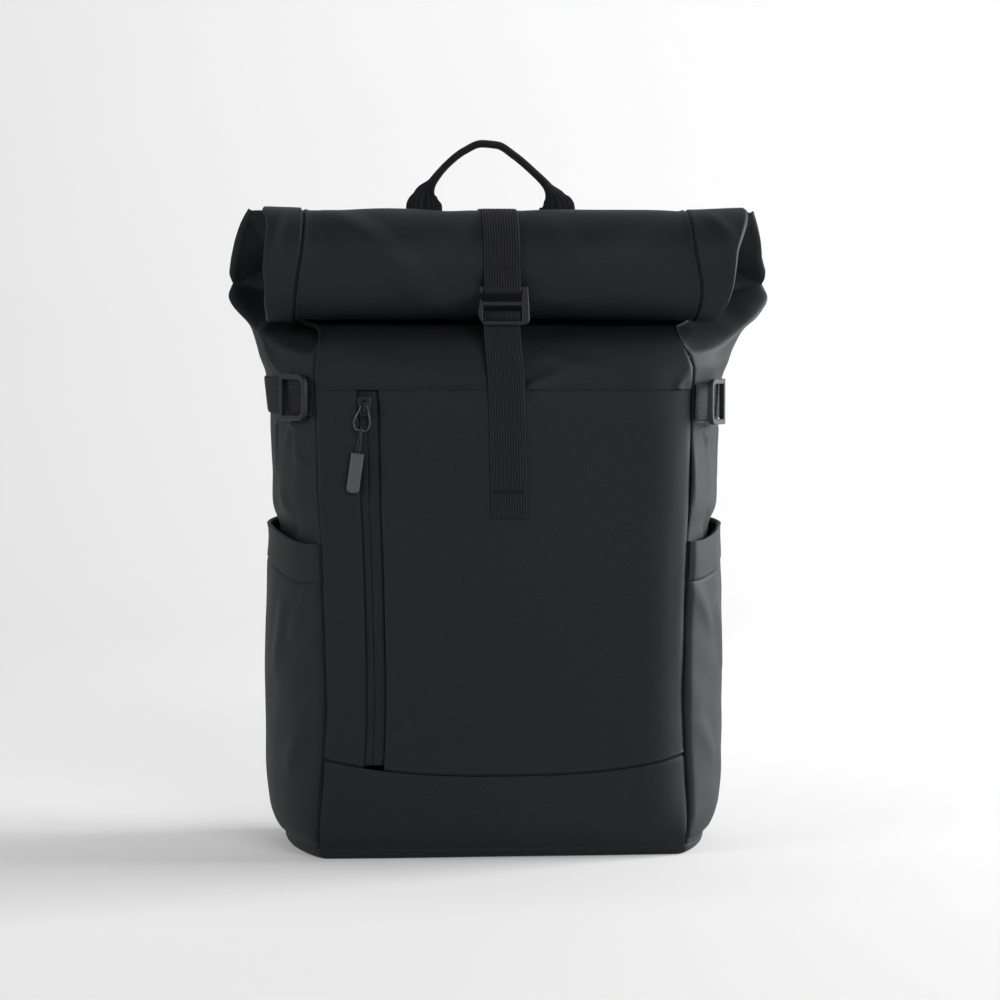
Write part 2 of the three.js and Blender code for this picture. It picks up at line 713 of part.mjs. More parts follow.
function gussetShareAt(side, distance, z) {
  const level = levelAtHeight(frontSeam, z);
  const surface = gussetSurface(side);
  const steps = 200;
  let [walked, previous] = [0, surface(0, level)];
  for (let i = 1; i <= steps; i += 1) {
    const here = surface(i / steps, level);
    walked += here.distanceTo(previous);
    if (walked >= distance) return i / steps;
    previous = here;
  }
  return 1;
}

const bandHeight = (side) => sideBandHeight - (side > 0 ? sideBandDrop : 0);

function buildSideBand(side, name) {
  const grid = (lift) => [-1, -0.34, 0.34, 1].map((v) => evenly(8).map((u) => {
    const z = bandHeight(side) + (v * webbingWidth) / 2;
    const share = THREE.MathUtils.lerp(0.004, 0.996, u);
    return onGusset(side, share, z, lift).point;
  }));
  addPiece(name, sheetBetween(grid(coverGap + webbingWall), grid(coverGap)), webbing);
}

function buildSideLoop(side, name) {
  const [reach, height] = [sideLoopReach, sideLoopHeight];
  const outline = (inset) => {
    const path = inset ? new THREE.Path() : new THREE.Shape();
    const [low, high] = [-height / 2 + inset, height / 2 - inset];
    const [near, far] = [inset, reach - inset];
    const round = sideLoopCorner - inset;
    path.moveTo(far, low);
    path.lineTo(far, high);
    path.lineTo(near + round, high);
    path.quadraticCurveTo(near, high, near, high - round);
    path.lineTo(near, low + round);
    path.quadraticCurveTo(near, low, near + round, low);
    path.lineTo(far, low);
    return path;
  };
  const shape = outline(0);
  shape.holes.push(outline(sideLoopBar));
  const bevel = sideLoopBevel;
  const geometry = new THREE.ExtrudeGeometry(shape, {
    depth: sideLoopWall - 2 * bevel, bevelEnabled: true, bevelThickness: bevel,
    bevelSize: bevel, bevelOffset: -bevel, bevelSegments: 1, curveSegments: 5,
  });
  geometry.translate(0, 0, bevel);
  const middle = bandHeight(side);
  const begin = side < 0 ? sideLoopStartLeft : sideLoopStartRight;
  const first = gussetShareAt(side, begin, middle);
  const last = gussetShareAt(side, begin + reach, middle);
  const lift = coverGap + seamGap + webbingWall;
  const start = onGusset(side, first, middle, lift).point;
  const end = onGusset(side, last, middle, lift).point;
  const along = end.clone().sub(start);
  along.z = 0;
  along.normalize();
  const up = new THREE.Vector3(0, 0, 1);
  const outward = along.clone().cross(up).multiplyScalar(side > 0 ? 1 : -1).normalize();
  let sag = 0;
  for (let i = 0; i <= 10; i += 1) {
    const share = THREE.MathUtils.lerp(first, last, i / 10);
    for (const rise of [-height, -webbingWidth, 0, webbingWidth, height]) {
      const z = middle + rise / 2;
      const wall = Math.abs(rise) === height ? coverGap : lift;
      const swell = onGusset(side, share, z, wall).point.sub(start).dot(outward);
      sag = Math.max(sag, swell);
    }
  }
  start.addScaledVector(outward, sag);
  const basis = new THREE.Matrix4().makeBasis(along, up, along.clone().cross(up));
  geometry.applyMatrix4(basis);
  if (side < 0) geometry.translate(...outward.clone().multiplyScalar(sideLoopWall).toArray());
  addPiece(name, geometry, plastic).position.copy(start);
}

const pocketMouth = (share) => THREE.MathUtils.lerp(pocketMouthFront, pocketMouthBack,
  THREE.MathUtils.smoothstep(share, 0, 0.6));

// How far a pocket stands off the side wall: it touches at its sides and foot.
function pocketRoom(share, z) {
  const rise = THREE.MathUtils.clamp((z - pocketFoot) / (pocketMouth(share) - pocketFoot), 0, 1);
  return coverGap + pocketMouthGap * arch(share) ** 0.7 * rise ** 0.35;
}

function pocketGrid(side, rows, lift) {
  return rows.map((row) => evenly(10).map((u) => {
    const share = THREE.MathUtils.lerp(0.02, 0.98, u);
    const z = row(share);
    return onGusset(side, share, z, pocketRoom(share, z) + lift).point;
  }));
}

function buildPocket(side, ending) {
  const hemFoot = (share) => pocketMouth(share) - pocketHemHeight;
  const hemRows = evenly(2).map((v) => (share) => hemFoot(share) + v * pocketHemHeight);
  const lowRows = [0, 0.08, 0.22, 0.42, 0.7].map((v) => (share) => (
    THREE.MathUtils.lerp(pocketFoot, hemFoot(share), v)));
  const rows = [...lowRows, ...hemRows];
  addPiece(`side_pocket_${ending}`, sheetBetween(
    pocketGrid(side, rows, pocketWall), pocketGrid(side, rows, 0)), cloth);
  const above = pocketWall + seamGap;
  addPiece(`pocket_hem_${ending}`, sheetBetween(
    pocketGrid(side, hemRows, above + pocketHemWall), pocketGrid(side, hemRows, above)), cloth);
}

// Zip: tape and teeth behind the slit between the two front cloths.
function buildZip() {
  const depth = clothWall + seamGap;
  const low = bottomSeamLevel(shareAcrossFront(zipCentre - zipTapeWidth / 2))
    + levelGap(frontSurface, 2);
  const high = yokeLevel - levelGap(frontSurface, yokeLevel);
  const levels = evenly(7).map((v) => THREE.MathUtils.lerp(low, high, v));
  const half = (width) => width / (4 * frontSeam(1, yokeLevel).x);
  const middle = shareAcrossFront(zipCentre);
  const rings = levels.map((level) => {
    const at = (width, lift) => {
      const share = middle + Math.sign(width) * half(Math.abs(width));
      const out = frontNormal(middle, level);
      return frontSurface(share, level).addScaledVector(out, lift);
    };
    const face = -depth;
    const rear = face - zipTapeWall;
    return [
      at(-zipTapeWidth, rear), at(zipTapeWidth, rear), at(zipTapeWidth, face), at(zipTeethWidth, face),
      at(zipTeethWidth * 0.6, face + zipTeethHeight), at(-zipTeethWidth * 0.6, face + zipTeethHeight),
      at(-zipTeethWidth, face), at(-zipTapeWidth, face),
    ];
  });
  const tape = zipTapeWidth / 2;
  const teeth = zipTeethWidth / 2;
  const outline = [
    [-tape, 0], [tape, 0], [tape, 1], [teeth, 1], [teeth * 0.6, 2], [-teeth * 0.6, 2], [-teeth, 1],
    [-tape, 1],
  ];
  const cap = THREE.ShapeUtils.triangulateShape(
    outline.map(([x, y]) => new THREE.Vector2(x, y)), []);
  addPiece('zip_tape', loftThrough(rings, cap), webbing);
}

// Place on the zip: a height, and how far out of the cloth's outer face.
function onZip(z, lift) {
  const level = levelAtHeight(frontSeam, z);
  const share = shareAcrossFront(zipCentre);
  return frontSurface(share, level).addScaledVector(frontNormal(share, level), lift);
}

function toManifold(geometry) {
  const bare = geometry.clone();
  bare.deleteAttribute('normal');
  bare.deleteAttribute('uv');
  const merged = mergeVertices(bare, 1e-4);
  return new wasm.Manifold(new wasm.Mesh({
    numProp: 3,
    vertProperties: new Float32Array(merged.getAttribute('position').array),
    triVerts: new Uint32Array(merged.getIndex().array),
  }));
}

function fromManifold(solid) {
  const { vertProperties, triVerts } = solid.getMesh();
  const geometry = new THREE.BufferGeometry();
  geometry.setAttribute('position', new THREE.BufferAttribute(vertProperties, 3));
  geometry.setIndex(new THREE.BufferAttribute(triVerts, 1));
  return geometry;
}

const sliderMiddle = yokeSeamHeight - sliderTopDrop - sliderLength / 2;
const sliderLift = zipTeethHeight - clothWall;

function buildSlider() {
  const half = sliderLength / 2;
  const body = new THREE.Shape();
  body.moveTo(-sliderWidth / 2, half * 0.55);
  body.quadraticCurveTo(-sliderWidth / 2, half, 0, half);
  body.quadraticCurveTo(sliderWidth / 2, half, sliderWidth / 2, half * 0.55);
  body.lineTo(sliderWidth * 0.32, -half);
  body.lineTo(-sliderWidth * 0.32, -half);
  body.closePath();
  const plate = new THREE.ExtrudeGeometry(body, {
    depth: sliderWall - 2 * sliderBevel, bevelEnabled: true, bevelThickness: sliderBevel,
    bevelSize: sliderBevel, bevelOffset: -sliderBevel, bevelSegments: 1, curveSegments: 5,
  });
  plate.translate(0, 0, sliderBevel);
  const side = new THREE.Shape();
  side.moveTo(-half * 0.72, 0);
  side.lineTo(-half * 0.72, bridgeRise * 0.8);
  side.lineTo(-half * 0.5, bridgeRise + bridgeWall);
  side.lineTo(half * 0.35, bridgeRise + bridgeWall);
  side.lineTo(half * 0.6, 0);
  side.lineTo(half * 0.4, 0);
  side.lineTo(half * 0.22, bridgeRise);
  side.lineTo(-half * 0.4, bridgeRise);
  side.lineTo(-half * 0.5, 0);
  side.closePath();
  const bridge = new THREE.ExtrudeGeometry(side, { depth: bridgeWidth, bevelEnabled: false });
  bridge.translate(0, 0, -bridgeWidth / 2);
  bridge.applyMatrix4(new THREE.Matrix4().makeBasis(
    new THREE.Vector3(0, 1, 0), new THREE.Vector3(0, 0, 1), new THREE.Vector3(1, 0, 0)));
  bridge.translate(0, 0, sliderWall - bridgeSink);
  const geometry = fromManifold(toManifold(plate).add(toManifold(bridge)));
  const mesh = addPiece('zip_slider', geometry, metal);
  mesh.rotation.x = Math.PI / 2;
  mesh.position.copy(onZip(sliderMiddle, sliderLift + seamGap));
}

// Closed band round a loop of rings, the last joined to the first.
function loopThrough(rings) {
  const size = rings[0].length;
  const faces = [];
  rings.forEach((_, r) => {
    const after = ((r + 1) % rings.length) * size;
    for (let k = 0; k < size; k += 1) {
      const next = (k + 1) % size;
      faces.push([r * size + k, r * size + next, after + next], [r * size + k, after + next, after + k]);
    }
  });
  return facingOut(solidFrom(rings.flat(), faces));
}

// The pull hangs from the slider's bridge: wire loop, cord and tab, in a group of their own that
// is turned about the bridge. Its own z runs up the pull and its -y away from the bag.
function buildPull() {
  const pull = new THREE.Group();
  bag.add(pull);
  const under = sliderWall - bridgeSink + bridgeRise;
  const wireLift = sliderLift + seamGap + (sliderWall + under) / 2;
  pull.position.copy(onZip(sliderMiddle - 1, wireLift));
  pull.rotation.y = THREE.MathUtils.degToRad(tabTilt);
  const hang = (name, geometry, finish) => {
    const mesh = addPiece(name, geometry, finish);
    pull.add(mesh);
  };
  const half = wireLoopWidth / 2;
  const wirePath = new THREE.CatmullRomCurve3([
    [0, 1.2], [1.9, 0.4], [2.8, -2.5], [half * 0.86, -wireLoopLength * 0.45],
    [half, -wireLoopLength * 0.7], [half * 0.62, -wireLoopLength * 0.95], [0, 1.2 - wireLoopLength],
    [-half * 0.62, -wireLoopLength * 0.95], [-half, -wireLoopLength * 0.7],
    [-half * 0.86, -wireLoopLength * 0.45], [-2.8, -2.5], [-1.9, 0.4],
  ].map(([x, z]) => new THREE.Vector3(x, 0, z)), true);
  const wireRings = evenly(28).slice(0, -1).map((t) => {
    const middle = wirePath.getPointAt(t);
    const along = wirePath.getTangentAt(t);
    const outward = new THREE.Vector3(0, 1, 0).cross(along).normalize();
    return evenly(6).slice(0, -1).map((turn) => {
      const angle = turn * 2 * Math.PI;
      return middle.clone().addScaledVector(outward, (Math.cos(angle) * wireGauge) / 2)
        .add(new THREE.Vector3(0, (Math.sin(angle) * wireGauge) / 2, 0));
    });
  });
  hang('zip_wire_loop', loopThrough(wireRings), metal);

  const wireFoot = 1.2 - wireLoopLength;
  const tabTop = wireFoot - cordReach;
  const bend = 2 * cordDiameter;
  const tabMiddle = -onZip(sliderMiddle, 0).y - tabThick / 2 - 0.6
    + frontSurface(zipFirst, levelAtHeight(frontSeam, tabTop + sliderMiddle - tabLength * 0.5)).y
    + wireLift;
  const strand = cordDiameter * 0.9;
  // Cord: out of the tab, up behind the wire, over it and down in front, back into the tab.
  const cordPath = new THREE.CatmullRomCurve3([
    [-strand, tabMiddle + 0.3, tabTop + seamGap],
    [-strand, tabMiddle + 0.6, tabTop + 4],
    [-strand * 0.6, bend * 0.9, wireFoot - 3],
    [-strand * 0.3, bend, wireFoot],
    [0, bend * 0.72, wireFoot + bend * 0.72],
    [0, 0, wireFoot + bend],
    [0, -bend * 0.72, wireFoot + bend * 0.72],
    [strand * 0.3, -bend, wireFoot],
    [strand * 0.6, -bend * 0.9, wireFoot - 3],
    [strand, tabMiddle - 0.6, tabTop + 4],
    [strand, tabMiddle - 0.3, tabTop + seamGap],
  ].map((point) => new THREE.Vector3(...point)));
  const cordSection = new THREE.Shape();
  evenly(8).slice(0, -1).forEach((turn, i) => {
    const angle = turn * 2 * Math.PI;
    const [x, y] = [Math.cos(angle) * cordDiameter / 2, Math.sin(angle) * cordDiameter / 2];
    if (i === 0) cordSection.moveTo(x, y); else cordSection.lineTo(x, y);
  });
  const cord = new THREE.ExtrudeGeometry(cordSection, { steps: 22, extrudePath: cordPath });
  hang('zip_cord', cord, webbing);

  const side = tabWidth / 2;
  const tabShape = new THREE.Shape();
  tabShape.moveTo(-side, 0);
  tabShape.lineTo(-side, -tabLength + side * 0.7);
  tabShape.quadraticCurveTo(-side, -tabLength, 0, -tabLength);
  tabShape.quadraticCurveTo(side, -tabLength, side, -tabLength + side * 0.7);
  tabShape.lineTo(side, 0);
  tabShape.closePath();
  const tab = new THREE.ExtrudeGeometry(tabShape, {
    depth: tabThick - 2 * tabBevel, bevelEnabled: true, bevelThickness: tabBevel,
    bevelSize: tabBevel, bevelOffset: -tabBevel, bevelSegments: 1, curveSegments: 4,
  });
  tab.translate(0, 0, tabBevel - tabThick / 2);
  tab.rotateX(Math.PI / 2);
  tab.translate(0, tabMiddle, tabTop - 0.2);
  hang('zip_tab', tab, tabRubber);
}

// Section with cut corners, half as wide as across and half as thick as through.
function roundedSection(middle, across, through) {
  const cut = 0.45;
  return [[-1, -cut], [-cut, -1], [cut, -1], [1, -cut], [1, cut], [cut, 1], [-cut, 1], [-1, cut]]
    .map(([a, b]) => middle.clone().addScaledVector(across, a).addScaledVector(through, b));
}

// Handle: the webbing lies flat where it is sewn on and is folded in two over the hand's width.
const HANDLE_COLUMNS = ['along', 'rise', 'width', 'thick'];
const HANDLE = [
  [-1.00, -1.00, 1.00, 0.40],
  [-1.00, -0.45, 1.00, 0.40],
  [-1.00, 0.03, 0.98, 0.44],
  [-0.98, 0.22, 0.62, 0.80],
  [-0.86, 0.42, 0.24, 2.10],
  [-0.66, 0.66, 0.20, 2.50],
  [-0.40, 0.87, 0.20, 2.60],
  [-0.14, 0.98, 0.20, 2.60],
  [0.10, 0.96, 0.20, 2.50],
  [0.36, 0.80, 0.20, 2.50],
  [0.62, 0.58, 0.20, 2.40],
  [0.84, 0.36, 0.24, 2.00],
  [0.96, 0.17, 0.62, 0.80],
  [1.00, 0.01, 0.98, 0.44],
  [1.00, -0.45, 1.00, 0.40],
  [1.00, -1.00, 1.00, 0.40],
];

function buildHandle() {
  const reach = handleSpan / 2 - webbingWidth / 2;
  const onBack = (z) => {
    const level = levelAtHeight(backSeam, Math.min(z, backSeam(1, TOP_LEVEL).z));
    return backSurface(0.5, level).y;
  };
  const rows = HANDLE.map((row) => Object.fromEntries(HANDLE_COLUMNS.map((name, i) => [name, row[i]])));
  const places = rows.map(({ along, rise, thick }) => {
    const z = rollTopHeight + (rise < 0 ? rise * handleDrop : rise * handleRise);
    const depth = onBack(z) + coverGap + 2 + (handleThick * 0.4) / 2;
    return new THREE.Vector3(handleCentre + along * reach, depth, z);
  });
  const rings = rows.map(({ width, thick }, i) => {
    const before = places[Math.max(i - 1, 0)];
    const after = places[Math.min(i + 1, places.length - 1)];
    const along = after.clone().sub(before).normalize();
    const through = new THREE.Vector3(0, 1, 0).addScaledVector(along, -along.y).normalize();
    const across = along.clone().cross(through).normalize();
    return roundedSection(places[i], across.multiplyScalar((width * webbingWidth) / 2),
      through.multiplyScalar((thick * handleThick) / 2));
  });
  addPiece('haul_handle', loftThrough(rings), webbing);
}

// Padded panel on the back, thickest away from its edges.
function buildBackPad() {
  const [cols, rows] = [8, 9];
  const [low, high] = [backPadFoot, backPadTop].map((z) => levelAtHeight(backSeam, z));
  const grid = (padded) => evenly(rows).map((v) => evenly(cols).map((u) => {
    const inset = backPadSide / (2 * halfBack);
    const corner = 0.05 * (1 - Math.min(arch(v) * 6, 1));
    const share = THREE.MathUtils.lerp(inset + corner, 1 - inset - corner, u);
    const level = THREE.MathUtils.lerp(low, high, v);
    const swell = Math.min(arch(u) * arch(v) * 9, 1) ** 0.5;
    const lift = coverGap + (padded ? backPadWall * (0.35 + 0.65 * swell) : 0);
    return backSurface(share, level).addScaledVector(backNormal(share, level), lift);
  }));
  addPiece('back_pad', sheetBetween(grid(true), grid(false)), cloth);
}

// Shoulder strap: flat on the back at its top, bowed away below, with a ladder buckle at its foot.
const strapFootLift = backPadWall + 2 * coverGap + shoulderStrapWall / 2;

function shoulderPlace(side, t) {
  const z = THREE.MathUtils.lerp(shoulderStrapTop, shoulderStrapFoot, t);
  const level = levelAtHeight(backSeam, z);
  const rest = THREE.MathUtils.lerp(shoulderStrapWall * 0.31, strapFootLift,
    THREE.MathUtils.smoothstep(t, 0, 0.16));
  const bow = shoulderStrapBow * Math.sin(Math.PI * t ** 0.8) ** 1.1;
  const spread = THREE.MathUtils.smoothstep(t, 0, 0.8);
  const x = THREE.MathUtils.lerp(shoulderStrapInner, shoulderStrapOuter, spread);
  return new THREE.Vector3(side * x, backSurface(0.5, level).y + rest + bow, z);
}

function buildShoulderStrap(side, ending) {
  const steps = 16;
  const rings = evenly(steps).map((t) => {
    const middle = shoulderPlace(side, t);
    const step = 0.01;
    const before = shoulderPlace(side, Math.max(t - step, 0));
    const along = shoulderPlace(side, Math.min(t + step, 1)).sub(before).normalize();
    const across = new THREE.Vector3(1, 0, 0).addScaledVector(along, -along.x).normalize();
    const through = across.clone().cross(along).normalize();
    const taper = 1 - 0.42 * THREE.MathUtils.smoothstep(t, 0.72, 1);
    const thin = 1 - 0.3 * THREE.MathUtils.smoothstep(1 - t, 0.86, 1)
      - 0.4 * THREE.MathUtils.smoothstep(t, 0.85, 1);
    return roundedSection(middle, across.multiplyScalar((taper * shoulderStrapWidth) / 2),
      through.multiplyScalar((thin * shoulderStrapWall) / 2));
  });
  addPiece(`shoulder_strap_${ending}`, loftThrough(rings), cloth);

  const foot = shoulderPlace(side, 1);
  const top = foot.z - adjusterOverlap;
  const bar = adjusterBar;
  const ladder = new THREE.Shape();
  const [w, h] = [adjusterWidth / 2, adjusterHeight];
  ladder.moveTo(-w, 0);
  ladder.lineTo(w, 0);
  ladder.lineTo(w, -h + bar / 2);
  ladder.lineTo(w - bar / 2, -h);
  ladder.lineTo(-w + bar / 2, -h);
  ladder.lineTo(-w, -h + bar / 2);
  ladder.closePath();
  const upperFoot = bar + adjusterUpperSlot;
  for (const [from, to] of [[bar, upperFoot], [upperFoot + bar, h - bar]]) {
    const slot = new THREE.Path();
    slot.moveTo(-adjusterSlot / 2, -from);
    slot.lineTo(-adjusterSlot / 2, -to);
    slot.lineTo(adjusterSlot / 2, -to);
    slot.lineTo(adjusterSlot / 2, -from);
    slot.closePath();
    ladder.holes.push(slot);
  }
  const plate = new THREE.ExtrudeGeometry(ladder, { depth: adjusterWall, bevelEnabled: false });
  plate.translate(0, 0, -adjusterWall / 2);
  const buckle = addPiece(`strap_adjuster_${ending}`, plate, plastic);
  buckle.rotation.x = Math.PI / 2;
  buckle.position.set(foot.x, foot.y, top);

  const radius = Math.hypot(adjusterWall, bar) / 2 + seamGap;
  const turn = foldRound(foot.x, foot.y, top - bar / 2, radius, false);
  const tabRise = top + strapTabRise;
  const tab = [
    station(foot.x, foot.y - radius, tabRise, -1, 0), ...turn,
    station(foot.x, foot.y + radius, tabRise, 1, 0),
  ];
  addPiece(`strap_tab_${ending}`, webbingBand(tab), webbing);

  const barMiddle = top - upperFoot - bar / 2;
  const under = foldRound(foot.x, foot.y, barMiddle, radius, true);
  const anchorLevel = levelAtHeight(backSeam, baseAnchorHeight);
  const anchorX = side * (backSeam(1, anchorLevel).x - baseAnchorInset);
  const anchorOut = backNormal(0.5, anchorLevel);
  const anchor = backSurface(0.5, anchorLevel).addScaledVector(anchorOut, coverGap);
  const lowSlot = top - h + bar;
  const tail = under.at(-1).middle.y;
  const near = anchor.y + webbingWall;
  const path = [
    station(anchorX, near, anchor.z, -1, 0),
    station(anchorX, near + 1, anchor.z + 8, -1, 0.1),
    station(THREE.MathUtils.lerp(anchorX, foot.x, 0.6), THREE.MathUtils.lerp(near, foot.y - radius, 0.6),
      THREE.MathUtils.lerp(anchor.z, lowSlot, 0.7), -0.9, 0.3),
  ];
  addPiece(`adjuster_webbing_${ending}`, webbingBand([
    ...path, ...under,
    station(foot.x, tail, lowSlot, 1, 0),
  ]), webbing);
}

const model = new THREE.Group();
model.add(bag);
buildFront();
buildBack();
buildGusset(-1, 'gusset_left');
buildGusset(1, 'gusset_right');
buildBase();
buildRoll();
buildClosureStrap();
buildHook();
buildLoopStrap();
for (const [side, ending] of [[-1, 'left'], [1, 'right']]) {
  buildSideBand(side, `side_band_${ending}`);
  buildSideLoop(side, `side_loop_${ending}`);
  buildPocket(side, ending);
}
buildZip();
buildSlider();
buildPull();
buildHandle();
buildBackPad();
for (const [side, ending] of [[-1, 'left'], [1, 'right']]) buildShoulderStrap(side, ending);

export default model;
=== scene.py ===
import math
import random

import bpy
import numpy as np
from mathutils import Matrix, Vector


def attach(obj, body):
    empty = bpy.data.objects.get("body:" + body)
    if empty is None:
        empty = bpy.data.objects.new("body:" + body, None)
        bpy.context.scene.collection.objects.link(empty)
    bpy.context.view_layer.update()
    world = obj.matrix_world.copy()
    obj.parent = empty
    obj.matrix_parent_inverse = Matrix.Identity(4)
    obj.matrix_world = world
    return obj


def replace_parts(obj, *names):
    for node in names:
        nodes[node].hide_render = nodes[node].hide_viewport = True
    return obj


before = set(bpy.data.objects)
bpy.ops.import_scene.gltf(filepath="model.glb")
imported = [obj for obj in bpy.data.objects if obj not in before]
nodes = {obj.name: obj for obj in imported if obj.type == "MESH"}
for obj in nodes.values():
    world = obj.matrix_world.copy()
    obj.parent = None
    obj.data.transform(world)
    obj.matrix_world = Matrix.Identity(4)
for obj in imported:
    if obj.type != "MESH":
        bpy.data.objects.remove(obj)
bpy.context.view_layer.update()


# Camera
# It stands a little left of the bag's middle and just above it, far off with a long lens, so that
# the bag's uprights stay parallel.
def new_object(name, data):
    """An object with that data, in the scene."""
    made = bpy.data.objects.new(name, data)
    bpy.context.scene.collection.objects.link(made)
    return made


def look_along(made, way):
    """Turns a camera or a light to face along a way."""
    made.rotation_mode = "QUATERNION"
    made.rotation_quaternion = way.to_track_quat("-Z", "Y")


camera_data = bpy.data.cameras.new("camera")
camera_data.lens = 100
camera_data.sensor_width = 36
camera = new_object("camera", camera_data)
bpy.context.scene.camera = camera
CAMERA_AIM = Vector((0.003, 0, 0.2413))
CAMERA_TURN, CAMERA_RISE, CAMERA_REACH = math.radians(-4.5), math.radians(3), 1.955
camera_way = Vector((math.sin(CAMERA_TURN) * math.cos(CAMERA_RISE),
                     -math.cos(CAMERA_TURN) * math.cos(CAMERA_RISE), math.sin(CAMERA_RISE)))
camera.location = CAMERA_AIM + camera_way * CAMERA_REACH
look_along(camera, -camera_way)


# Cord of the zip pull
# A thin round polyester cord. It goes from the tab up behind the slider's wire loop, over it and
# back down into the tab, and is held in the tab by its moulding.
def linear(code):
    """An sRGB hex colour as linear values."""
    parts = [int(code[i:i + 2], 16) / 255 for i in (1, 3, 5)]
    return [*(c / 12.92 if c <= 0.04045 else ((c + 0.055) / 1.055) ** 2.4 for c in parts), 1]


def add(tree, kind, links=None, **settings):
    """Adds one shader node. links holds a value, a colour's code, a node or a socket for each of
    its inputs. A texture lies in the space of the object."""
    made = tree.nodes.new("ShaderNode" + kind)
    for key, value in settings.items():
        setattr(made, key, value)
    if kind in ("TexNoise", "TexWave", "TexVoronoi"):
        links = {"Vector": add(tree, "TexCoord").outputs["Object"], **links}
    for key, value in (links or {}).items():
        if isinstance(value, bpy.types.Node):
            value = value.outputs[0]
        if isinstance(value, str):
            value = linear(value)
        if isinstance(value, bpy.types.NodeSocket):
            tree.links.new(value, made.inputs[key])
        else:
            made.inputs[key].default_value = value
    return made


def new_material(name):
    """A material with an empty tree, and its tree."""
    made = bpy.data.materials.new(name)
    made.use_nodes = True
    made.node_tree.nodes.clear()
    return made, made.node_tree


def surface(tree, values):
    """Ends a material's tree in its surface shader with these inputs."""
    add(tree, "OutputMaterial", {0: add(tree, "BsdfPrincipled", values)})


def every(millimetres):
    """Scale of a pattern with one grain or one repeat in so many millimetres."""
    return 1000 / millimetres


# Metres in which a diagonal wave texture of scale 1 repeats.
DIAGONAL_WAVE = 2 * math.pi / (10 * math.sqrt(3))

# Braided polyester cord, dyed black: fine crossing strands that break up the light.
cord_black, tree = new_material("braided_cord")
strands = add(tree, "TexWave", {"Scale": DIAGONAL_WAVE * every(0.403), "Distortion": 1.5},
              bands_direction="DIAGONAL").outputs[1]
surface(tree, {
    "Base Color": add(tree, "MixRGB", {0: strands, 1: "#141516", 2: "#2A2C2E"}),
    "Roughness": 0.7,
    "Normal": add(tree, "Bump", {"Height": strands, "Distance": 0.00012, "Strength": 0.8})})

# From inside the tab up, over the wire loop and back into the tab.
CORD_ROUTE = [
    (-100.00, -78.60, 277.90), (-99.49, -78.30, 281.56), (-97.91, -76.42, 289.93),
    (-97.20, -76.20, 292.85), (-96.69, -76.82, 294.38), (-96.60, -78.40, 294.99),
    (-96.69, -79.98, 294.38), (-96.61, -80.60, 292.77), (-96.74, -80.38, 289.76),
    (-97.53, -79.50, 281.29), (-98.04, -79.20, 277.62),
]
CORD_THICK = 1.1


def distances(path):
    """Distance along a path to each of its points."""
    return np.cumsum(np.linalg.norm(np.diff(path, axis=0, prepend=path[:1]), axis=1))


def rows_at(values, run, wanted):
    """Rows of values, known at some distances along a path, at the wanted ones."""
    return np.stack([np.interp(wanted, run, values[:, k]) for k in range(3)], 1)


def unit(ways):
    """The same directions with length 1."""
    return ways / np.linalg.norm(ways, axis=-1)[..., None]


def smooth_path(points, count):
    """Even points on a smooth curve through points."""
    p = np.array([points[0], *points, points[-1]], float)
    fine = []
    for i in range(1, len(p) - 2):
        for t in np.linspace(0, 1, 40, endpoint=False):
            a, b, c, d = p[i - 1:i + 3]
            fine.append(0.5 * (2 * b + (c - a) * t + (2 * a - 5 * b + 4 * c - d) * t * t
                               + (3 * b - a - 3 * c + d) * t ** 3))
    fine = np.array([*fine, p[-2]])
    run = distances(fine)
    return rows_at(fine, run, np.linspace(0, run[-1], count)), run[-1]


def mesh_piece(name, points, faces, material, slot, places=None):
    """A smooth-shaded mesh object from points in millimetres. places are its (u, v) in metres."""
    data = bpy.data.meshes.new(name)
    data.from_pydata((np.asarray(points, float) / 1000).tolist(), [], faces)
    data.shade_smooth()
    if places is not None:
        layer = data.uv_layers.new(name="UVMap")
        corner = np.zeros(len(data.loops), int)
        data.loops.foreach_get("vertex_index", corner)
        layer.data.foreach_set("uv", np.asarray(places, float)[corner].astype(np.float32).ravel())
    data.materials.append(material)
    made = new_object(name, data)
    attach(made, "root")
    return made


def grid_faces(rows, cols, round_rows=False, round_cols=False, flip=False, capped=False):
    """Quads of a grid of points, closed over its last row or column and capped where asked."""
    faces = []
    for r in range(rows if round_rows else rows - 1):
        for c in range(cols if round_cols else cols - 1):
            a, b = r * cols + c, r * cols + (c + 1) % cols
            d, e = (r + 1) % rows * cols + c, (r + 1) % rows * cols + (c + 1) % cols
            faces.append((a, d, e, b) if flip else (a, b, e, d))
    if capped:
        first, last = tuple(range(cols)), tuple(range((rows - 1) * cols, rows * cols))
        faces += [first, last[::-1]] if flip else [first[::-1], last]
    return faces


def tube(path, radius, sides=12, closed=False):
    """Rings of a round tube on a path, with capped ends unless it is closed."""
    along = unit(np.roll(path, -1, 0) - np.roll(path, 1, 0) if closed else np.gradient(path, axis=0))
    side = np.cross(along[0], (0.3, 0.5, 0.8))
    turn = np.linspace(0, 2 * np.pi, sides, endpoint=False)[:, None]
    rings = []
    for middle, way in zip(path, along):
        side = unit(side - way * (side @ way))
        rings.append(middle + radius * (np.cos(turn) * side + np.sin(turn) * np.cross(way, side)))
    return np.concatenate(rings), grid_faces(
        len(path), sides, round_rows=closed, round_cols=True, capped=not closed)


cord_path, cord_length = smooth_path(CORD_ROUTE, 70)
pull_cord = mesh_piece("pull_cord", *tube(cord_path, CORD_THICK / 2), cord_black, "webbing")
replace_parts(pull_cord, "zip_cord")


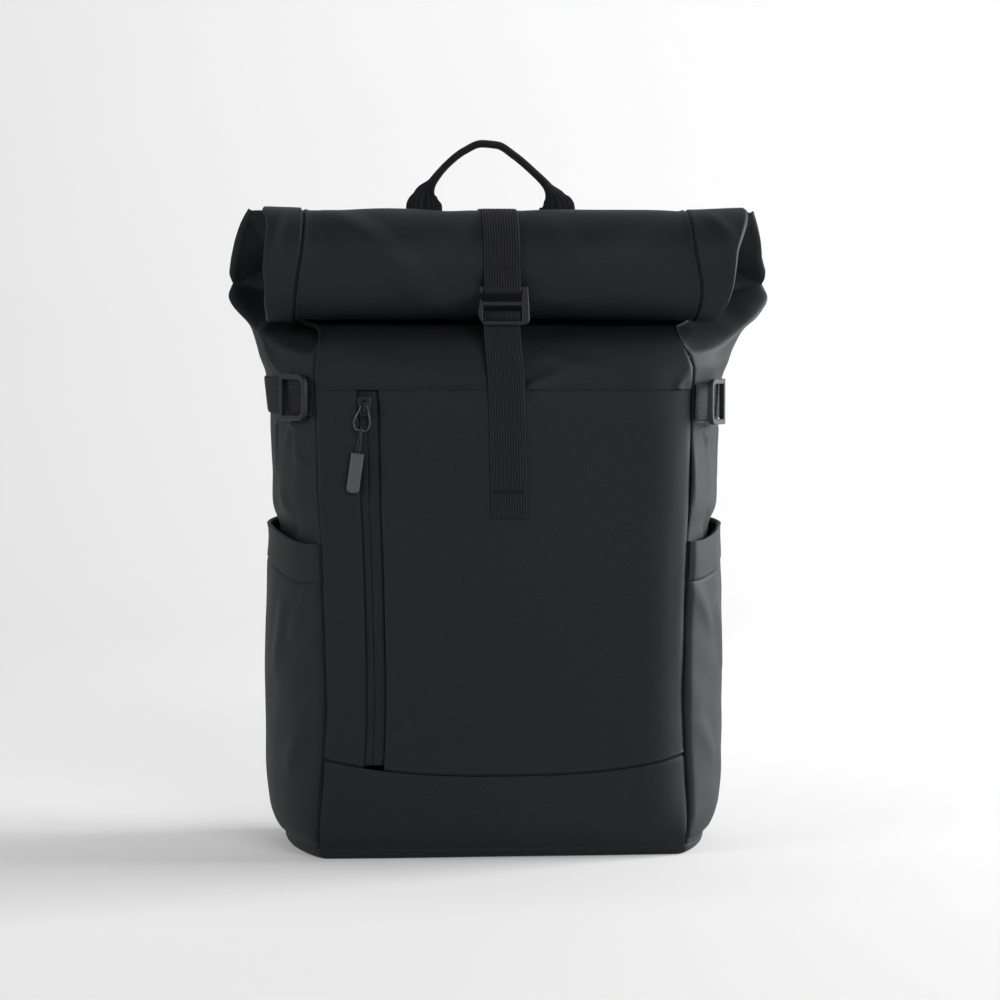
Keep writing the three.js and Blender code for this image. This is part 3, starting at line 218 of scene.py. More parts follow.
# Studio
# A pale seamless sheet that curves up behind the bag and is faintly lit from beneath, with a
# large softbox at the right, a smaller one in front, a weak one at the left and one on the sheet.
# Metres: half its width, its front and back edge, its height and the radius of its bend.
SHEET_HALF, SHEET_FRONT, SHEET_BACK, SHEET_HIGH, SHEET_BEND = 9.0, -9.0, 3.0, 5.0, 1.6
turn = np.linspace(0, math.pi / 2, 17)
line = [(SHEET_FRONT, 0.0),
        *zip(SHEET_BACK - SHEET_BEND * (1 - np.sin(turn)), SHEET_BEND * (1 - np.cos(turn))),
        (SHEET_BACK, SHEET_HIGH)]
sheet = bpy.data.meshes.new("studio_sheet")
sheet.from_pydata([(x, y, z) for y, z in line for x in (-SHEET_HALF, SHEET_HALF)], [],
                  grid_faces(len(line), 2))
sheet.shade_smooth()

# Translucent studio sheet: matt pale grey, slightly uneven, with its own faint light.
sheet_white, tree = new_material("studio_white")
cloudy = add(tree, "TexNoise", {"Scale": every(667)})
surface(tree, {"Base Color": add(tree, "MixRGB", {0: cloudy, 1: "#BFBFBF", 2: "#C3C3C3"}),
               "Roughness": 0.9, "Emission Color": "#FFFFFF", "Emission Strength": 0.2})
sheet.materials.append(sheet_white)
floor = new_object("studio_sheet", sheet)


def softbox(name, place, aim, wide, high, power):
    """A rectangular light that faces a point; metres and watts."""
    data = bpy.data.lights.new(name, "AREA")
    data.shape, data.size, data.size_y, data.energy = "RECTANGLE", wide, high, power
    made = new_object(name, data)
    made.location = place
    look_along(made, Vector(aim) - Vector(place))


softbox("light_right", (2.7, 0.4, 1.05), (0, 0, 0.25), 1.5, 1.8, 180)
softbox("light_front", (0.9, -2.5, 1.5), (0, 0, 0.25), 1.4, 1.0, 32)
softbox("light_left", (-2.0, -0.9, 0.9), (0, 0, 0.25), 1.2, 1.4, 23)
softbox("light_backdrop", (0.2, 1.0, 3.0), (0.0, 3.0, 1.3), 3.4, 1.2, 41)
world = bpy.data.worlds.new("studio_air")
world.use_nodes = True
world.node_tree.nodes["Background"].inputs[0].default_value = linear("#F2F4F6")
world.node_tree.nodes["Background"].inputs[1].default_value = 0.02
bpy.context.scene.world = world
bpy.context.scene.view_settings.view_transform = "Standard"
bpy.context.scene.view_settings.look = "None"


# Front of the bag: pocket cloth, strip beside the zip, base band and yoke
# Coated polyester, cut in panels, sewn inside out and turned, so that every seam is a groove
# between two rounded edges.
BODY_HIGH, HALF_DEPTH, HALF_FRONT, HALF_BACK = 441, 75, 126, 142
SIDE_SWELL, FRONT_SWELL, BACK_SWELL, TOP_LEAN = 28, 4, 2, 4
# Sections of the bag from its foot to the closure: the height, the place forward or back and the
# half width of the front's and the back's seams, and the side walls' swell, all as shares.
LEVEL_COLUMNS = ("front_up", "front_out", "front_half", "back_up", "back_out", "back_half", "swell")
LEVELS = np.array([
    (0.016, -0.890, 1.000, 0.016, 0.880, 0.980, 0.54),
    (0.045, -0.960, 1.004, 0.045, 0.950, 1.004, 0.64),
    (0.125, -0.985, 0.985, 0.125, 0.970, 1.014, 0.74),
    (0.250, -1.010, 0.964, 0.250, 0.985, 1.014, 0.76),
    (0.400, -1.025, 0.976, 0.400, 0.985, 1.007, 0.69),
    (0.500, -1.010, 0.990, 0.500, 0.985, 1.000, 0.60),
    (0.550, -1.000, 1.000, 0.550, 0.985, 0.998, 0.78),
    (0.680, -0.975, 1.012, 0.680, 0.975, 1.005, 0.78),
    (0.748, -0.920, 1.024, 0.764, 0.933, 1.028, 0.82),
    (0.800, -0.790, 1.020, 0.832, 0.770, 1.110, 0.96),
    (0.822, -0.520, 1.070, 0.884, 0.613, 1.290, 0.98),
    (0.834, -0.180, 1.150, 0.910, 0.490, 1.335, -0.10),
    (0.870, 0.080, 1.220, 0.930, 0.350, 1.332, -0.22),
    (0.928, 0.070, 1.250, 0.953, 0.190, 1.315, -0.14),
    (0.966, -0.020, 1.250, 0.982, 0.060, 1.285, -0.07),
    (0.991, -0.185, 1.200, 1.005, -0.140, 1.245, -0.02),
])
TOP_LEVEL, SHELF_LEVEL = len(LEVELS) - 1, 9


def step(x, low, high):
    """Rises smoothly from 0 at low to 1 at high."""
    t = np.clip((np.asarray(x, float) - low) / (high - low), 0, 1)
    return t * t * (3 - 2 * t)


def hill(distance, reach):
    """1 where the distance is nought, and next to nothing beyond twice the reach."""
    return np.exp(-(distance / reach) ** 2)


def column_curve(values):
    """Smooth curve through the values, without overshoot between two of them."""
    d = np.diff(values)
    before, after = np.concatenate([d[:1], d]), np.concatenate([d, d[-1:]])
    slopes = np.where(before * after <= 0, 0, 2 * before * after / (before + after + 1e-12))

    def at(level):
        level = np.asarray(level, float)
        i = np.clip(np.floor(level).astype(int), 0, len(values) - 2)
        t = level - i
        u = 1 - t
        return (u * u * (1 + 2 * t) * values[i] + t * t * (3 - 2 * t) * values[i + 1]
                + t * u * u * slopes[i] - t * t * u * slopes[i + 1])
    return at


column = {name: column_curve(LEVELS[:, i]) for i, name in enumerate(LEVEL_COLUMNS)}
RIGHT_BEND, BEND_START = 9.5, 0.875


def bend_height(level):
    """Where the front bends back to its right seam: not at the foot, and not under the roll."""
    return step(level, 0.2, 2) * (1 - step(level, 7.5, 9))


def tuck(side, level):
    """How far the front's seam is drawn in under the roll."""
    return np.interp(level, (8.2, 9, 10, 11, 12.5), (0, 7, 16, 14, 0) if side > 0 else (0, 0, 4, 3, 0))


def seam(end, side, level):
    """Seam between the front or the back and a side wall."""
    level = np.asarray(level, float)
    half, out, up = (column[f"{end}_{kind}"](level) for kind in ("half", "out", "up"))
    half = half * (HALF_FRONT if end == "front" else HALF_BACK)
    lean = TOP_LEAN * step(level, SHELF_LEVEL - 1.5, SHELF_LEVEL + 1)
    ear = np.interp(level, (8.4, 9.4, 10.5, 11.2, 12.2), (0, 7, 5, 4, 0)) * (1 if side > 0 else 0.3)
    full = 2 * bend_height(level) * (side > 0)
    across = lean + side * (half - tuck(side, level) + full if end == "front" else half + ear)
    back_off = RIGHT_BEND * bend_height(level) if end == "front" and side > 0 else 0
    return np.stack(np.broadcast_arrays(across, HALF_DEPTH * out + back_off, BODY_HIGH * up), -1)


def arch(share):
    """0 at both seams and 1 in the middle between them."""
    return 1 - (2 * share - 1) ** 2


def front_surface(share, level):
    """The front; it is flat for most of its width and bends back to its right seam."""
    share, level = np.broadcast_arrays(share, level)
    left, right = seam("front", -1, level), seam("front", 1, level)
    made = left + (right - left) * share[..., None]
    made[..., 1] -= FRONT_SWELL * arch(share) * step(SHELF_LEVEL - level, 0, 2)
    made[..., 1] -= RIGHT_BEND * bend_height(level) * (
        share - np.clip((share - BEND_START) / (1 - BEND_START), 0, 1) ** 2.3)
    return made


def back_surface(share, level):
    """The back, in one flat curve between its two seams."""
    share, level = np.broadcast_arrays(share, level)
    left, right = seam("back", -1, level), seam("back", 1, level)
    made = left + (right - left) * share[..., None]
    made[..., 1] += BACK_SWELL * arch(share) * step(SHELF_LEVEL - level, 0, 2)
    return made


def side_surface(side):
    """The surface of a side wall, from its front seam to its back seam."""
    def at(share, level):
        share, level = np.broadcast_arrays(share, level)
        front, back = seam("front", side, level), seam("back", side, level)
        made = front + (back - front) * share[..., None]
        made[..., 0] += side * tuck(side, level) * ((1 - share) - (1 - share) ** 4)
        # The fold under the ear runs aslant, from the ear's corner down to the front's seam.
        aslant = np.minimum(level + 1.8 * (1 - share) * step(level, 7.5, 8.8), TOP_LEVEL)
        bow = np.maximum(arch(share), 0) ** 0.8
        made[..., 0] += side * SIDE_SWELL * column["swell"](aslant) * bow
        folded = bow * step(aslant, 10.1, 10.8)
        made[..., 0] -= side * folded * np.interp(level, (11, 12.5, 13.5, 15), (20, 14, 5, 0))
        made[..., 1] += folded * np.interp(level, (9.5, 11, 12, 13, 14, 15), (8, 14, 14, 6, 3, 0))
        return made
    return at


def level_at(height, end="front"):
    """Level at which a seam reaches a height."""
    fine = np.linspace(0, TOP_LEVEL, 3000)
    return np.interp(height, seam(end, 1, fine)[:, 2], fine)


def normals(grid, flip=False):
    """Normals of a grid of points, row by row up and column by column across."""
    made = np.cross(np.gradient(grid, axis=1), np.gradient(grid, axis=0))
    made /= np.linalg.norm(made, axis=2)[..., None] + 1e-12
    return -made if flip else made


def runs(grid):
    """Distances along a grid's rows and its columns, from the first column and the first row."""
    across = np.linalg.norm(np.diff(grid, axis=1, prepend=grid[:, :1]), axis=2)
    up = np.linalg.norm(np.diff(grid, axis=0, prepend=grid[:1]), axis=2)
    return np.cumsum(across, 1), np.cumsum(up, 0)


def edge_roll(run, first, last):
    """The cloth turns in beside a sewn edge: how far it sinks at each distance along its rows.
    first and last are the reach and the depth at each end, or None for an edge that stays flat."""
    sink = np.zeros_like(run)
    for wanted, distance in ((first, run), (last, run[:, -1:] - run)):
        if wanted:
            sink -= wanted[1] * hill(distance, wanted[0])
    return sink


def ripple(a, b, seed, length, height):
    """Slow unevenness of cloth that has been handled: a few waves at random angles."""
    chance = random.Random(seed)
    total = np.zeros_like(np.asarray(a, float))
    for _ in range(8):
        turn = chance.uniform(0, math.pi)
        wave = length * chance.uniform(0.6, 1.9)
        total += np.sin((a * math.cos(turn) + b * math.sin(turn)) * 2 * math.pi / wave
                        + chance.uniform(0, 6.28))
    return height * total / math.sqrt(8)


def folds(a, b, rows):
    """Folds from (a0, b0) to (a1, b1) with flat flanks: width, height, and 1 where a fold starts
    sharp at a pinned place and 0 where it fades at both ends. Millimetres."""
    total = np.zeros_like(np.asarray(a, float))
    for a0, b0, a1, b1, width, height, pinned in rows:
        way = np.array((a1 - a0, b1 - b0))
        length = np.linalg.norm(way)
        way = way / length
        t = ((a - a0) * way[0] + (b - b0) * way[1]) / length
        off = (a - a0) * -way[1] + (b - b0) * way[0]
        inside = np.clip(t, 0, 1)
        fade = (1 - inside) ** 0.8 * step(t, -0.08, 0.06) if pinned else (4 * inside * (1 - inside)) ** 0.7
        spread = width * (0.5 + 0.8 * inside) if pinned else width
        flank = np.maximum(0, 1.1 - np.sqrt((off / spread) ** 2 + 0.01))
        total += height * fade * flank * flank * (3 - 1.8 * flank) / 1.2
    return total


def sheet_piece(name, grid, material, slot, wall, flip=False):
    """A cloth whose outer face is the grid of points, with a thickness where wall gives one."""
    made = mesh_piece(name, grid.reshape(-1, 3), grid_faces(*grid.shape[:2], flip=flip), material, slot,
                      np.stack(runs(grid), -1).reshape(-1, 2) / 1000)
    if wall:
        thick = made.modifiers.new("thickness", "SOLIDIFY")
        thick.thickness, thick.offset, thick.use_even_offset = wall / 1000, -1, False
    return made


def waves(tree, along, spacing, kind="SINE"):
    """A wave that repeats every so many millimetres along a coordinate in metres."""
    turns = add(tree, "Math", {0: along, 1: 2 * math.pi * every(spacing)}, operation="MULTIPLY")
    return add(tree, "Math", {0: turns}, operation=kind)


# Polyester plain weave with a polyurethane coat rolled on: near black, satin, with the weave
# showing through as fine diagonal dots. The dots are drawn 1.4 mm apart, coarser than the real
# 0.5 mm, so that they show at this distance.
coated_black, tree = new_material("coated_polyester")
split = add(tree, "SeparateXYZ", {0: add(tree, "UVMap")})
threads = [waves(tree, split.outputs[i], 2) for i in (0, 1)]
crossed = add(tree, "Math", {0: threads[0], 1: threads[1]}, operation="MULTIPLY")
dots = add(tree, "Math", {0: crossed, 1: 0.5, 2: 0.5}, operation="MULTIPLY_ADD")
broad = add(tree, "TexNoise", {"Scale": every(111), "Detail": 3.0})
bump = add(tree, "Bump", {"Height": dots, "Distance": 0.00012, "Strength": 0.7})
# The coat's own grain, and the slow dents of handling.
for grain, deep, strong in ((1.11, 0.00004, 0.4), (18.2, 0.0004, 0.3)):
    dents = add(tree, "TexNoise", {"Scale": every(grain), "Detail": 2.0})
    bump = add(tree, "Bump", {"Normal": bump, "Distance": deep, "Strength": strong, "Height": dents})
surface(tree, {
    "Base Color": add(tree, "MixRGB", {0: broad, 1: "#16181A", 2: "#1B1D1F"}),
    "Roughness": add(tree, "MapRange", {0: broad, 3: 0.58, 4: 0.66}),
    "Specular IOR Level": 0.2,
    "Normal": bump})

YOKE_SEAM, ZIP_MIDDLE, ZIP_LEFT, ZIP_RIGHT = 319.6, -95, 5.6, 8
yoke_level = float(level_at(YOKE_SEAM))
yoke_half = float(seam("front", 1, yoke_level)[0])
SIDE_EDGE, SOFT_EDGE, CUT_EDGE = (1.5, 0.9), (0.9, 0.6), (1.1, 1.0)


def cloth_piece(name, grid, wall=1.2, flip=False, relief=None):
    """A piece of the coated cloth, raised by its relief in millimetres."""
    if relief is not None:
        grid = grid + normals(grid, flip) * relief[..., None]
    return sheet_piece(name, grid, coated_black, "coated_cloth", wall, flip)


def share_at(x):
    """Share of the front's width at a distance from the bag's middle."""
    return 0.5 + x / (2 * yoke_half)


def bottom_seam(share):
    """Level of the seam above the base band, higher towards its two ends."""
    return level_at(57.5 + 12 * np.abs(2 * share - 1) ** 2.6)


def front_grid(first, last, low, high, cols, rows):
    """Points of the front between two shares and two levels, which may depend on the share."""
    share = np.linspace(max(first, 0.0018), min(last, 0.9982), cols)
    lower = low(share) if callable(low) else np.full(cols, low)
    upper = high(share) if callable(high) else np.full(cols, high)
    t = np.linspace(0, 1, rows)
    t = t + 0.9 * (t * (1 - t) * (2 * t - 1))
    return front_surface(share[None, :], lower[None] + (upper - lower)[None] * t[:, None])


def front_piece(name, replaced, grid, edges, rows=(), felled=0.0, lip=0.0, wall=1.2):
    """A panel of the front with edges turned in at the left, right, foot and top."""
    u, v = runs(grid)
    left, right, foot, top = edges
    relief = (edge_roll(u, left, right) + edge_roll(v.T, foot, top).T
              + ripple(grid[..., 0], grid[..., 2], 5, 90, 0.22) + folds(grid[..., 0], grid[..., 2], rows)
              + felled * hill(v - 1.9, 0.6) + lip * hill(v, 2.2))
    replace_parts(cloth_piece(name, grid, wall, relief=relief), replaced)


front_piece("front_cloth", "front_panel", front_grid(
    share_at(ZIP_MIDDLE + ZIP_RIGHT), 1, lambda s: bottom_seam(s) + 0.004, yoke_level - 0.004, 110, 150),
    (CUT_EDGE, SOFT_EDGE, CUT_EDGE, None), [
        (-58, 318, -84, 296, 7, 0.45, 1), (18, 318, 44, 300, 9, 0.5, 1), (120, 120, 124, 250, 6, 0.4, 0)],
    felled=0.7)
front_piece("zip_strip_cloth", "zip_side_strip", front_grid(
    0, share_at(ZIP_MIDDLE - ZIP_LEFT), lambda s: bottom_seam(s) + 0.004, yoke_level - 0.004, 24, 130),
    (SIDE_EDGE, CUT_EDGE, CUT_EDGE, None), felled=0.7)
front_piece("base_band_cloth", "front_base_panel", front_grid(
    0, 1, 0.004, lambda s: bottom_seam(s) - 0.004, 130, 40),
    (SIDE_EDGE, SOFT_EDGE, None, (1.4, 0.8)))
front_piece("yoke_cloth", "yoke_panel", front_grid(0, 1, yoke_level + 0.001, TOP_LEVEL, 130, 94),
            (SIDE_EDGE, SOFT_EDGE, None, None), [
                (16, 322, 58, 338, 9, 1.5, 1), (18, 346, 74, 330, 8, 1.0, 0),
                (118, 320, 134, 340, 7, 1.6, 1), (-120, 352, -60, 330, 14, 0.8, 0),
                (60, 352, 112, 326, 12, 0.9, 0)], lip=0.55, wall=1.0)


# Back of the bag
# The same cloth in one piece, up to the closure, sewn to the side walls along its two edges.
back = back_surface(np.linspace(0.0018, 0.9982, 90)[None, :], np.concatenate([
    np.linspace(0.004, 8, 90), np.linspace(8.1, TOP_LEVEL, 70)])[:, None])
relief = edge_roll(runs(back)[0], SIDE_EDGE, SIDE_EDGE) + ripple(back[..., 0], back[..., 2], 8, 80, 0.3)
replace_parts(cloth_piece("back_cloth", back, 1.0, True, relief), "back_panel")


# Sides of the bag
# One long piece each, gathered into a fold behind the roll, which makes the ear beside it. Below
# each side loop the cloth is pinched by the webbing and breaks into flat facets.
SIDES = ((-1, "left"), (1, "right"))
SIDE_FOLDS = {
    -1: [(23, 299, 6, 280, 4, 2.4, 0), (6, 281, 18, 268, 4, 2.2, 0), (22, 299, 48, 276, 6, 2.2, 1),
         (23, 299, 20, 258, 7, 1.6, 1), (60, 296, 68, 256, 9, 1.8, 1), (34, 330, 62, 354, 5, 2.8, 0),
         (60, 352, 90, 384, 5, 2.6, 0), (14, 226, 40, 206, 8, 1.2, 0), (60, 250, 30, 232, 9, 1.2, 0)],
    1: [(14, 296, 3, 280, 4, 2.2, 1), (15, 296, 28, 280, 4, 2.2, 1), (3, 282, 4, 240, 4, 1.4, 0),
        (20, 290, 34, 256, 7, 1.8, 1), (56, 294, 64, 256, 9, 1.8, 1), (14, 226, 40, 206, 8, 1.2, 0),
        (60, 250, 30, 232, 9, 1.2, 0)],
}


def closer_at_edges(edge, near, count):
    """Shares across a wall: a few close together beside each seam, and count between them."""
    beside = np.linspace(edge, near, 7)[:-1]
    return np.concatenate([beside, np.linspace(near, 1 - near, count), 1 - beside[::-1]])[None, :]


for side, ending in SIDES:
    wall = side_surface(side)(closer_at_edges(0.0012, 0.025, 66), np.concatenate([
        np.linspace(0.004, 8, 150), np.linspace(8.04, TOP_LEVEL, 100)])[:, None])
    u, height = runs(wall)[0], wall[..., 2]
    relief = (edge_roll(u, SIDE_EDGE if side < 0 else SOFT_EDGE, SIDE_EDGE)
              + ripple(u, height, 11 + side, 46, 0.4) * step(height, 10, 60)
              + folds(u, height, SIDE_FOLDS[side]))
    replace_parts(cloth_piece(f"side_cloth_{ending}", wall, 1.0, side < 0, relief), f"gusset_{ending}")


# Base
# A tray of the same cloth over a board. Its rim is turned up and sewn to the walls all round.
rim = np.concatenate([
    front_surface(np.linspace(0, 1, 80)[:-1], 0.0), side_surface(1)(np.linspace(0, 1, 40)[:-1], 0.0),
    back_surface(np.linspace(1, 0, 80)[:-1], 0.0), side_surface(-1)(np.linspace(1, 0, 40)[:-1], 0.0)])
reach = np.hypot(rim[:, 0], rim[:, 1])[:, None]
tray = []
# Distance in from the walls, and height, of each ring from the rim to the middle.
for inset, height in ((1.5, 9.0), (0.1, 6.9), (0.3, 4.8), (1.0, 3.0), (2.2, 1.6), (3.9, 0.6), (6.4, 0.1),
                      (9, 0.02), (30, 0.02), (60, 0.02)):
    ring = rim * (1 - inset / reach)
    ring[:, 2] = height
    tray.append(ring)
tray.append(tray[-1] * (0.02, 0.02, 1))
tray = np.array(tray)
base_cloth = cloth_piece("base_cloth", np.concatenate([tray, tray[:, :1]], 1), wall=0, flip=True)
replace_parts(base_cloth, "base_panel")


# Rolled closure
# The tops of the front and the back, wound forward together. The side walls are folded into the
# roll's ends, which are thicker and end in a raised seam. The strap presses its middle down.
CLOSURE_TOP, ROLL_TOP, ROLL_HALF, ROLL_SHEET, ROLL_AIR = 445, 443.6, 40, 5, 1.5
ROLL_TURNS, ROLL_START = 2.3, 66
ROLL_Y, ROLL_Z = -0.43 * HALF_DEPTH, ROLL_TOP - ROLL_HALF
# Height, end and seam on the left, seam and end on the right.
ROLL_ENDS = np.array([
    (442, -162.5, -135.6, 129.8, 171.0), (434, -159.8, -135.4, 130.2, 168.5),
    (425, -160.2, -136.2, 131.0, 164.8), (414, -161.6, -137.2, 132.2, 160.4),
    (401, -162.5, -139.4, 134.4, 158.9), (389, -161.2, -141.2, 136.6, 157.6),
    (380, -161.6, -141.9, 136.4, 155.6), (370, -160.4, -142.0, 135.4, 151.2),
    (362, -160.0, -142.0, 135.0, 150.0),
])


def roll_place(turns, lift):
    """y and z of the roll's section; turns run from the back over the top and forward."""
    turns = np.asarray(turns, float)
    angle = math.radians(ROLL_START) + turns * 2 * math.pi
    reach = ROLL_HALF - turns * (ROLL_SHEET + ROLL_AIR) + lift
    return ROLL_Y + reach * np.cos(angle), ROLL_Z + reach * np.sin(angle)


shares = np.unique(np.concatenate([
    np.linspace(0, 0.012, 8), np.linspace(0.012, 0.1, 16), 0.1 + np.linspace(-0.008, 0.008, 9),
    np.linspace(0.1, 0.9, 110), 0.9 + np.linspace(-0.008, 0.008, 9), np.linspace(0.9, 0.988, 16),
    np.linspace(0.988, 1, 8)]))[None, :]
turns = np.linspace(0, ROLL_TURNS, 156)[:, None]
height = roll_place(turns, 0)[1]
marks = [np.interp(height, ROLL_ENDS[::-1, 0], ROLL_ENDS[::-1, i]) for i in (1, 2, 3, 4)]
x = sum(mark * np.interp(shares, (0, 0.1, 0.9, 1), part) for mark, part in zip(marks, np.eye(4)))
outer_turn = step(1.1 - turns, 0, 0.2)
off_middle = np.abs(shares - 0.5)
run = turns * 230
# The thicker ends with their seams, the dent of the strap and the dent left of it.
relief = outer_turn * (
    np.where(x < 0, 1.7, 1.2) * step(off_middle, 0.3985, 0.4015)
    - 1.2 * hill(off_middle - 0.3985, 0.0022) + 0.8 * hill(off_middle - 0.3925, 0.0028)
    - 1.3 * hill(x + 1, 20) * step(run, 2, 30) - 1.2 * hill(x + 36, 14) * step(30 - run, -12, 12)
    + ripple(x, run, 21, 75, 0.5)
    + folds(x, run, [(-128, 22, -30, 112, 16, 3.0, 0), (-120, 70, -24, 44, 22, 1.3, 0),
                     (-16, 92, -80, 112, 14, 1.6, 1), (16, 92, 70, 108, 12, 1.4, 1),
                     (124, 20, 60, 66, 20, 1.0, 0), (20, 30, 60, 84, 16, 0.9, 0),
                     (-148, 24, -158, 66, 7, 1.4, 0), (140, 30, 160, 62, 8, 1.4, 0)]))
relief = relief - 1.6 * hill(np.minimum(shares, 1 - shares), 0.003)
roll_y, roll_z = roll_place(turns, relief)
roll = np.stack([x, roll_y, roll_z], -1)
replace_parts(cloth_piece("roll_cloth", roll, ROLL_SHEET - 1.2, True), "rolled_closure")


# Closure strap
# Polyester webbing 25 mm wide with ribs along it. It is sewn to the back under the closure, runs
# over the roll and is folded round the hook's upper bar and sewn to itself across.
WEBBING_WIDE, WEBBING_THICK, WEBBING_RIBS = 25, 1.6, 14

# Webbing woven in black polyester yarn: dull, with fine crossing yarns over its ribs, and painted shade
# that darkens the grooves between the ribs to near black. The yarns are drawn 1 mm long, coarser than the
# real 0.4 mm.
webbing_black, tree = new_material("polyester_webbing")
split = add(tree, "SeparateXYZ", {0: add(tree, "UVMap")})
yarns = add(tree, "Math", {0: waves(tree, split.outputs[0], 0.6), 1: waves(tree, split.outputs[1], 1)},
            operation="MULTIPLY")
# Painted shade: the colour goes to near black in the grooves between the ribs, where shade would fall.
grooves = waves(tree, split.outputs[0], WEBBING_WIDE / WEBBING_RIBS, "COSINE")
painted_groove_shade = add(tree, "MapRange", {0: grooves, 1: -0.4, 2: 0.9, 3: 0.0, 4: 0.9})
fuzz = add(tree, "TexNoise", {"Scale": every(0.714), "Detail": 2.0})
bump = add(tree, "Bump", {"Height": yarns, "Distance": 0.00009, "Strength": 0.8})
dyed = add(tree, "MixRGB", {0: fuzz, 1: "#16171B", 2: "#292A2E"})
surface(tree, {
    "Base Color": add(tree, "MixRGB", {0: painted_groove_shade, 1: dyed, 2: "#050506"}),
    "Roughness": 0.78, "Specular IOR Level": 0.25,
    "Normal": add(tree, "Bump", {"Normal": bump, "Height": fuzz, "Distance": 0.00008, "Strength": 0.6})})


def webbing_band(name, places, across, outward, weave="ribs"):
    """A band along a path of places on its inner face, with ribs along it, or also bars across
    it for the checked weave."""
    places = np.asarray(places, float)
    across, outward = [np.broadcast_to(np.asarray(way, float), places.shape) for way in (across, outward)]
    run = distances(places)
    even = np.linspace(0, run[-1], int(run[-1] / (0.45 if weave == "checks" else 1.1)) + 2)
    places, across, outward = (rows_at(values, run, even) for values in (places, across, outward))
    a = np.concatenate([np.linspace(-1, 1, WEBBING_RIBS * 4 + 1), np.linspace(1, -1, 9)])
    top = np.arange(len(a)) <= WEBBING_RIBS * 4
    rib = 0.5 - 0.5 * np.cos(np.pi * WEBBING_RIBS * (a + 1))
    bars = 0.5 + 0.5 * np.cos(2 * np.pi * even / 1.8) if weave == "checks" else np.ones(len(even))
    rounded = 0.4 * np.abs(a) ** 16
    high = WEBBING_THICK * np.where(top, 1 - rounded, rounded)[None]
    high = high + np.where(top, -0.5, 0.1)[None] * (1 - rib[None] * (0.35 + 0.65 * bars[:, None]))
    grid = (places[:, None] + unit(across)[:, None] * (a * WEBBING_WIDE / 2)[:, None]
            + unit(outward)[:, None] * high[..., None])
    faces = grid_faces(len(even), len(a), round_cols=True, flip=True, capped=True)
    spots = np.stack(np.broadcast_arrays(a[None] * WEBBING_WIDE / 2000, even[:, None] / 1000), -1)
    return mesh_piece(name, grid.reshape(-1, 3), faces, webbing_black, "webbing", spots.reshape(-1, 2))


def normal_on(surface_of, facing, share, level):
    """Outward normal of a surface; facing is 1 or -1."""
    near = 1e-3
    share, level = np.clip(share, near, 1 - near), np.clip(level, near, TOP_LEVEL - near)
    way = np.cross(surface_of(share + near, level) - surface_of(share - near, level),
                   surface_of(share, level + near) - surface_of(share, level - near))
    return facing * unit(way)


def half_turn(y, z, radius, upward):
    """Places and outward ways of a band from in front of a bar, under or over it, to behind it."""
    angle = np.linspace(0, math.pi, 13)
    way = np.stack([0 * angle, -np.cos(angle), (1 if upward else -1) * np.sin(angle)], 1)
    return np.array((0, y, z)) + way * radius, way


STRAP_X, STRAP_SLANT, STRAP_ANCHOR_Z = -1, 0.02, 384
HOOK_Y, HOOK_TOP, HOOK_HIGH, HOOK_WALL, HOOK_BAR = -72.15, 389.5, 26, 2.4, 3
anchor = float(level_at(STRAP_ANCHOR_Z, "back"))
levels = np.linspace(anchor, TOP_LEVEL, 40)
out = normal_on(back_surface, -1, 0.5, levels)
rear = back_surface(0.5, levels) + out * 0.8
turns = np.linspace(0.03, (180 - ROLL_START) / 360, 40)
roll_y, roll_z = roll_place(turns, -0.7)
angle = math.radians(ROLL_START) + turns * 2 * math.pi
over = np.stack([0 * angle, roll_y, roll_z], 1)
over_way = np.stack([0 * angle, np.cos(angle), np.sin(angle)], 1)
strap_turn = math.hypot(HOOK_WALL, HOOK_BAR) / 2 + 0.25
bar, bar_way = half_turn(HOOK_Y, HOOK_TOP - HOOK_BAR / 2, strap_turn, False)
behind = np.array([(0, HOOK_Y + strap_turn, HOOK_TOP + 4), (0, HOOK_Y + strap_turn - 0.4, ROLL_Z - 7.6)])
places = np.concatenate([rear * (0, 1, 1), over, bar, behind]) + (STRAP_X, 0, 0)
ways = np.concatenate([out, over_way, bar_way, [(0, 1, 0)] * 2])
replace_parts(webbing_band("closure_webbing", places, (1, 0, 0), ways), "closure_strap")


# Stitches: polyester thread, slightly glossier than the webbing, sunk into it.
thread_black, tree = new_material("polyester_thread")
twist = add(tree, "TexWave", {"Scale": DIAGONAL_WAVE * every(0.242)}, bands_direction="DIAGONAL").outputs[1]
surface(tree, {
    "Base Color": add(tree, "MixRGB", {0: twist, 1: "#08090A", 2: "#121314"}),
    "Roughness": 0.75, "Specular IOR Level": 0.2,
    "Normal": add(tree, "Bump", {"Height": twist, "Distance": 0.00006, "Strength": 0.6})})


STITCH_LONG, STITCH_GAP, STITCH_THICK, ROW_HALF = 2.2, 0.8, 0.45, 11


def row_across(middle, way):
    """A row of stitches across a band, through a place in the middle of its face."""
    return [middle - (ROW_HALF, 0, 0), middle + (ROW_HALF, 0, 0)], way


